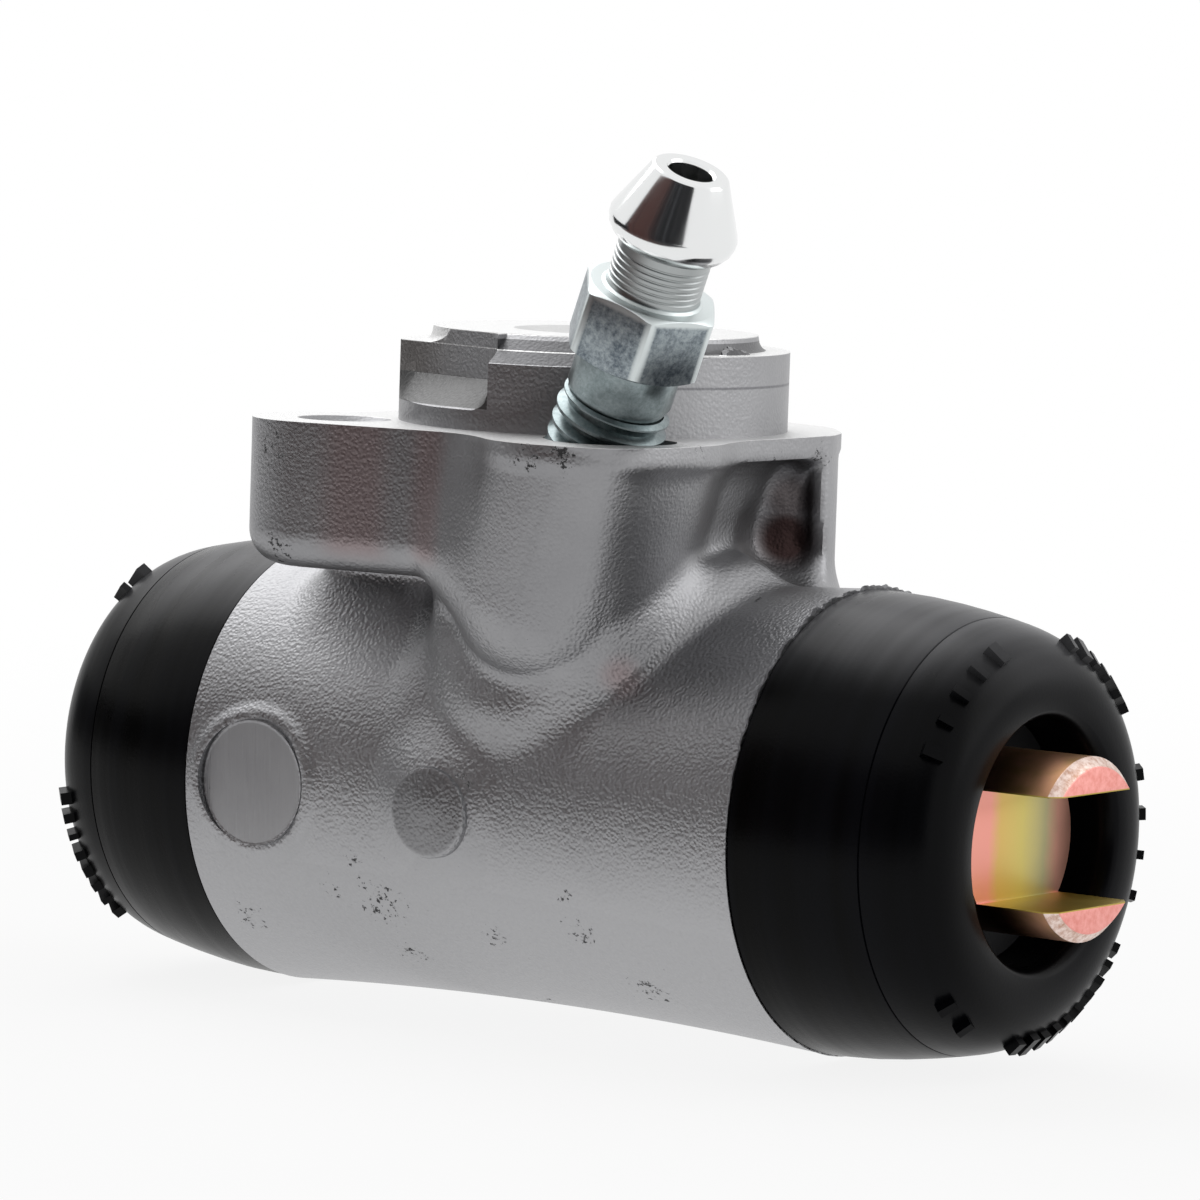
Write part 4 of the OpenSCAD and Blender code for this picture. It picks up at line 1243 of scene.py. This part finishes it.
class WHEELCYL_OT_pistons(bpy.types.Operator):
    """Chromated pistons, rounded at their edges, and the cups"""

    bl_idname = "wheelcyl.pistons"
    bl_label = "Pistons and cups"

    def execute(self, context):
        s = context.scene.wheelcyl_pistons
        chromate = yellow_chromate(s)
        rubber = cup_rubber()
        for name, side in (("left", -1), ("right", 1)):
            source = frame["nodes"]["piston_" + name]
            mesh = source.data.copy()
            mesh.transform(source.matrix_world)
            clean(mesh, 2e-6)
            work = bmesh.new()
            work.from_mesh(mesh)
            bmesh.ops.dissolve_limit(work, angle_limit=math.radians(1.5), verts=work.verts, edges=work.edges)
            work.to_mesh(mesh)
            work.free()
            piston = solid("chromated_piston_" + name, mesh)
            ends = sorted((side * (NOSE_X - s.slot_depth), side * (NOSE_X + 1)))
            slot = block("slot", (ends[0], -8, -FACE_H - s.slot_half), (ends[1], 8, -FACE_H + s.slot_half))
            combine(piston, "DIFFERENCE", solid("slot", slot))
            bevelled(piston, 0.14, 30)
            soften(piston.data, 30)
            dress(piston.data, chromate)
            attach(piston, name + "_piston")
            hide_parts("piston_" + name)
            dress(frame["nodes"]["piston_cup_" + name].data, rubber)
        return {"FINISHED"}


class WHEELCYL_OT_spring(bpy.types.Operator):
    """Return spring in two halves"""

    bl_idname = "wheelcyl.spring"
    bl_label = "Return spring"

    def execute(self, context):
        wire = spring_wire()
        coil = helix_tree("spring_coil", wire, "ROUND")
        low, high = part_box("return_spring")
        coil_r, wire_r = 0.0043, 0.00045
        half = (high.x - low.x) / 2 - wire_r
        for name, side in (("right", 1), ("left", -1)):
            mesh = coil.mesh("coil", Radius=coil_r, Pitch=half / 3, Length=half, Depth=wire_r)
            mesh.transform(Matrix.Rotation(math.pi / 2, 4, "Y"))
            if side < 0:
                mesh.transform(Matrix.Rotation(math.pi, 4, "Z"))
            mesh.transform(TO_BORE)
            soften(mesh, 50)
            piece = add_piece("spring_half_" + name, mesh, wire)
            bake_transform(piece)
            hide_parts("return_spring")
        return {"FINISHED"}


class WHEELCYL_OT_stage(bpy.types.Operator):
    """Pale floor, studio light and the camera"""

    bl_idname = "wheelcyl.stage"
    bl_label = "Stage"

    def execute(self, context):
        settings = context.scene.wheelcyl_stage
        self.add_camera(context.scene, settings)
        self.add_world(context.scene)
        self.add_floor(settings)
        self.add_cards(560.0, 420.0)
        self.add_lamp("key", (-0.40, 0.15, 0.55), 0.6, settings.key_power)
        self.add_lamp("rim", (0.50, 0.35, 0.30), 0.5, settings.rim_power)
        context.scene.view_settings.view_transform = "Standard"
        return {"FINISHED"}

    @staticmethod
    def add_camera(scene, settings):
        az, el = settings.azimuth, settings.elevation
        back = Vector((math.sin(az) * math.cos(el), -math.cos(az) * math.cos(el), math.sin(el)))
        right = Vector((math.cos(az), math.sin(az), 0))
        up = back.cross(right)
        c, s = math.cos(settings.roll), math.sin(settings.roll)
        right, up = right * c + up * s, up * c - right * s
        target = Vector((0.000441, 0, 0.011805 - FACE_H * MM))
        camera = bpy.data.cameras.new("camera")
        camera.lens = settings.lens
        camera.sensor_width = 36
        camera.clip_start = 0.01
        view = bpy.data.objects.new("camera", camera)
        turn = Matrix((right, up, back)).transposed().to_4x4()
        view.matrix_world = Matrix.Translation(target + back * settings.distance) @ turn
        scene.collection.objects.link(view)
        scene.camera = view

    @staticmethod
    def add_world(scene):
        world = bpy.data.worlds.new("studio")
        world.use_nodes = True
        sky = Tree(world.node_tree)
        strength = 0.4 + 0.6 * sky.seen()
        light = sky.node("ShaderNodeBackground", None, {"Color": (1, 1, 1), "Strength": strength})
        sky.node("ShaderNodeOutputWorld", None, {"Surface": light})
        scene.world = world

    @staticmethod
    def add_floor(settings):
        far, z = 9000.0, CAD_LOW.z / MM - 0.2
        points = [(-far, -far, z), (far, -far, z), (far, far, z), (-far, far, z)]
        paint = Paint("floor")
        matt = paint.node("ShaderNodeBsdfDiffuse", None, {"Color": settings.floor})
        glow = paint.node("ShaderNodeEmission", None, {"Color": (1, 1, 1), "Strength": 1.0})
        rays = paint.outs(paint.node("ShaderNodeLightPath"))
        clear = 1.0 - 0.13 * rays["Is Camera Ray"] * paint.near(paint.place(), (0, 0, 0), 30.0, 260.0)
        mix = paint.node("ShaderNodeMixShader", None, {0: clear * paint.seen(), 1: matt, 2: glow})
        paint.node("ShaderNodeOutputMaterial", None, {"Surface": mix})
        floor = add_piece("floor", mesh_from("floor", points, [(0, 1, 2, 3)]), paint.material)

    @staticmethod
    def add_cards(far, high):
        """Dark cards that only reflections see: a screen from the left to the camera, one lying in front"""
        low = CAD_LOW.z / MM
        turns = [math.radians(a) for a in range(176, 331, 11)]
        points = [(far * math.cos(a), far * math.sin(a), low + h * (high if a > 4.0 else 0.36 * high))
                  for a in turns for h in (0, 1)]
        faces = [(2 * i, 2 * i + 2, 2 * i + 3, 2 * i + 1) for i in range(len(turns) - 1)]
        lying = [(-420.0, -150.0), (300.0, -125.0), (420.0, -560.0), (-420.0, -560.0)]
        faces.append(tuple(range(len(points), len(points) + 4)))
        points += [(x, y, low + 0.5) for x, y in lying]
        paint = Paint("card")
        x = paint.axes(paint.place())[0]
        streaks = paint.band(paint.noise(x * 0.02, 1.0, 2.0, 0.6), 0.40, 0.55)
        warm = streaks * (paint.band(x, -420.0, -330.0) & paint.band(x, 160.0, 0.0))
        colour = paint.blend(warm, (0.02, 0.02, 0.022), (0.12, 0.055, 0.048))
        thin = paint.band(paint.noise(x * 0.05, 1.0, 2.0, 0.7), 0.60, 0.66) * paint.band(x, -60.0, 40.0)
        colour = paint.blend(thin, colour, (0.34, 0.36, 0.40))
        finish = paint.surface(Base_Color=colour, Roughness=1.0)
        cards = add_piece("cards", mesh_from("cards", points, faces), finish)
        cards.visible_camera = False
        cards.visible_diffuse = False
        cards.visible_shadow = False

    @staticmethod
    def add_lamp(name, place, spread, power):
        lamp = bpy.data.lights.new(name, "AREA")
        lamp.size = spread
        lamp.energy = power
        holder = bpy.data.objects.new(name, lamp)
        holder.location = place
        aim = Vector((0, 0, -0.015)) - Vector(place)
        holder.rotation_euler = aim.to_track_quat("-Z", "Y").to_euler()
        bpy.context.scene.collection.objects.link(holder)


class WHEELCYL_PT_panel(bpy.types.Panel):
    """Lists the steps"""

    bl_label = "Wheel cylinder"
    bl_idname = "WHEELCYL_PT_panel"
    bl_space_type = "VIEW_3D"
    bl_region_type = "UI"
    bl_category = "Wheel cylinder"

    def draw(self, context):
        for step in STEPS:
            self.layout.operator(step.bl_idname)


STEPS = (WHEELCYL_OT_stage, WHEELCYL_OT_body, WHEELCYL_OT_bleeder, WHEELCYL_OT_boots, WHEELCYL_OT_pistons,
         WHEELCYL_OT_spring)
GROUPS = {"wheelcyl_casting": CastingSizes, "wheelcyl_bleeder": BleederSizes, "wheelcyl_boots": BootSizes,
          "wheelcyl_pistons": PistonSizes, "wheelcyl_stage": StageSettings}


def register():
    for group in GROUPS.values():
        bpy.utils.register_class(group)
    for name, group in GROUPS.items():
        setattr(bpy.types.Scene, name, PointerProperty(type=group))
    for step in (*STEPS, WHEELCYL_PT_panel):
        bpy.utils.register_class(step)


def unregister():
    for step in (WHEELCYL_PT_panel, *reversed(STEPS)):
        bpy.utils.unregister_class(step)
    for name, group in GROUPS.items():
        delattr(bpy.types.Scene, name)
        bpy.utils.unregister_class(group)


def main():
    register()
    bpy.ops.wheelcyl.stage()
    bpy.ops.wheelcyl.body()
    bpy.ops.wheelcyl.bleeder()
    bpy.ops.wheelcyl.boots()
    bpy.ops.wheelcyl.pistons()
    bpy.ops.wheelcyl.spring()


if __name__ == "__main__":
    main()
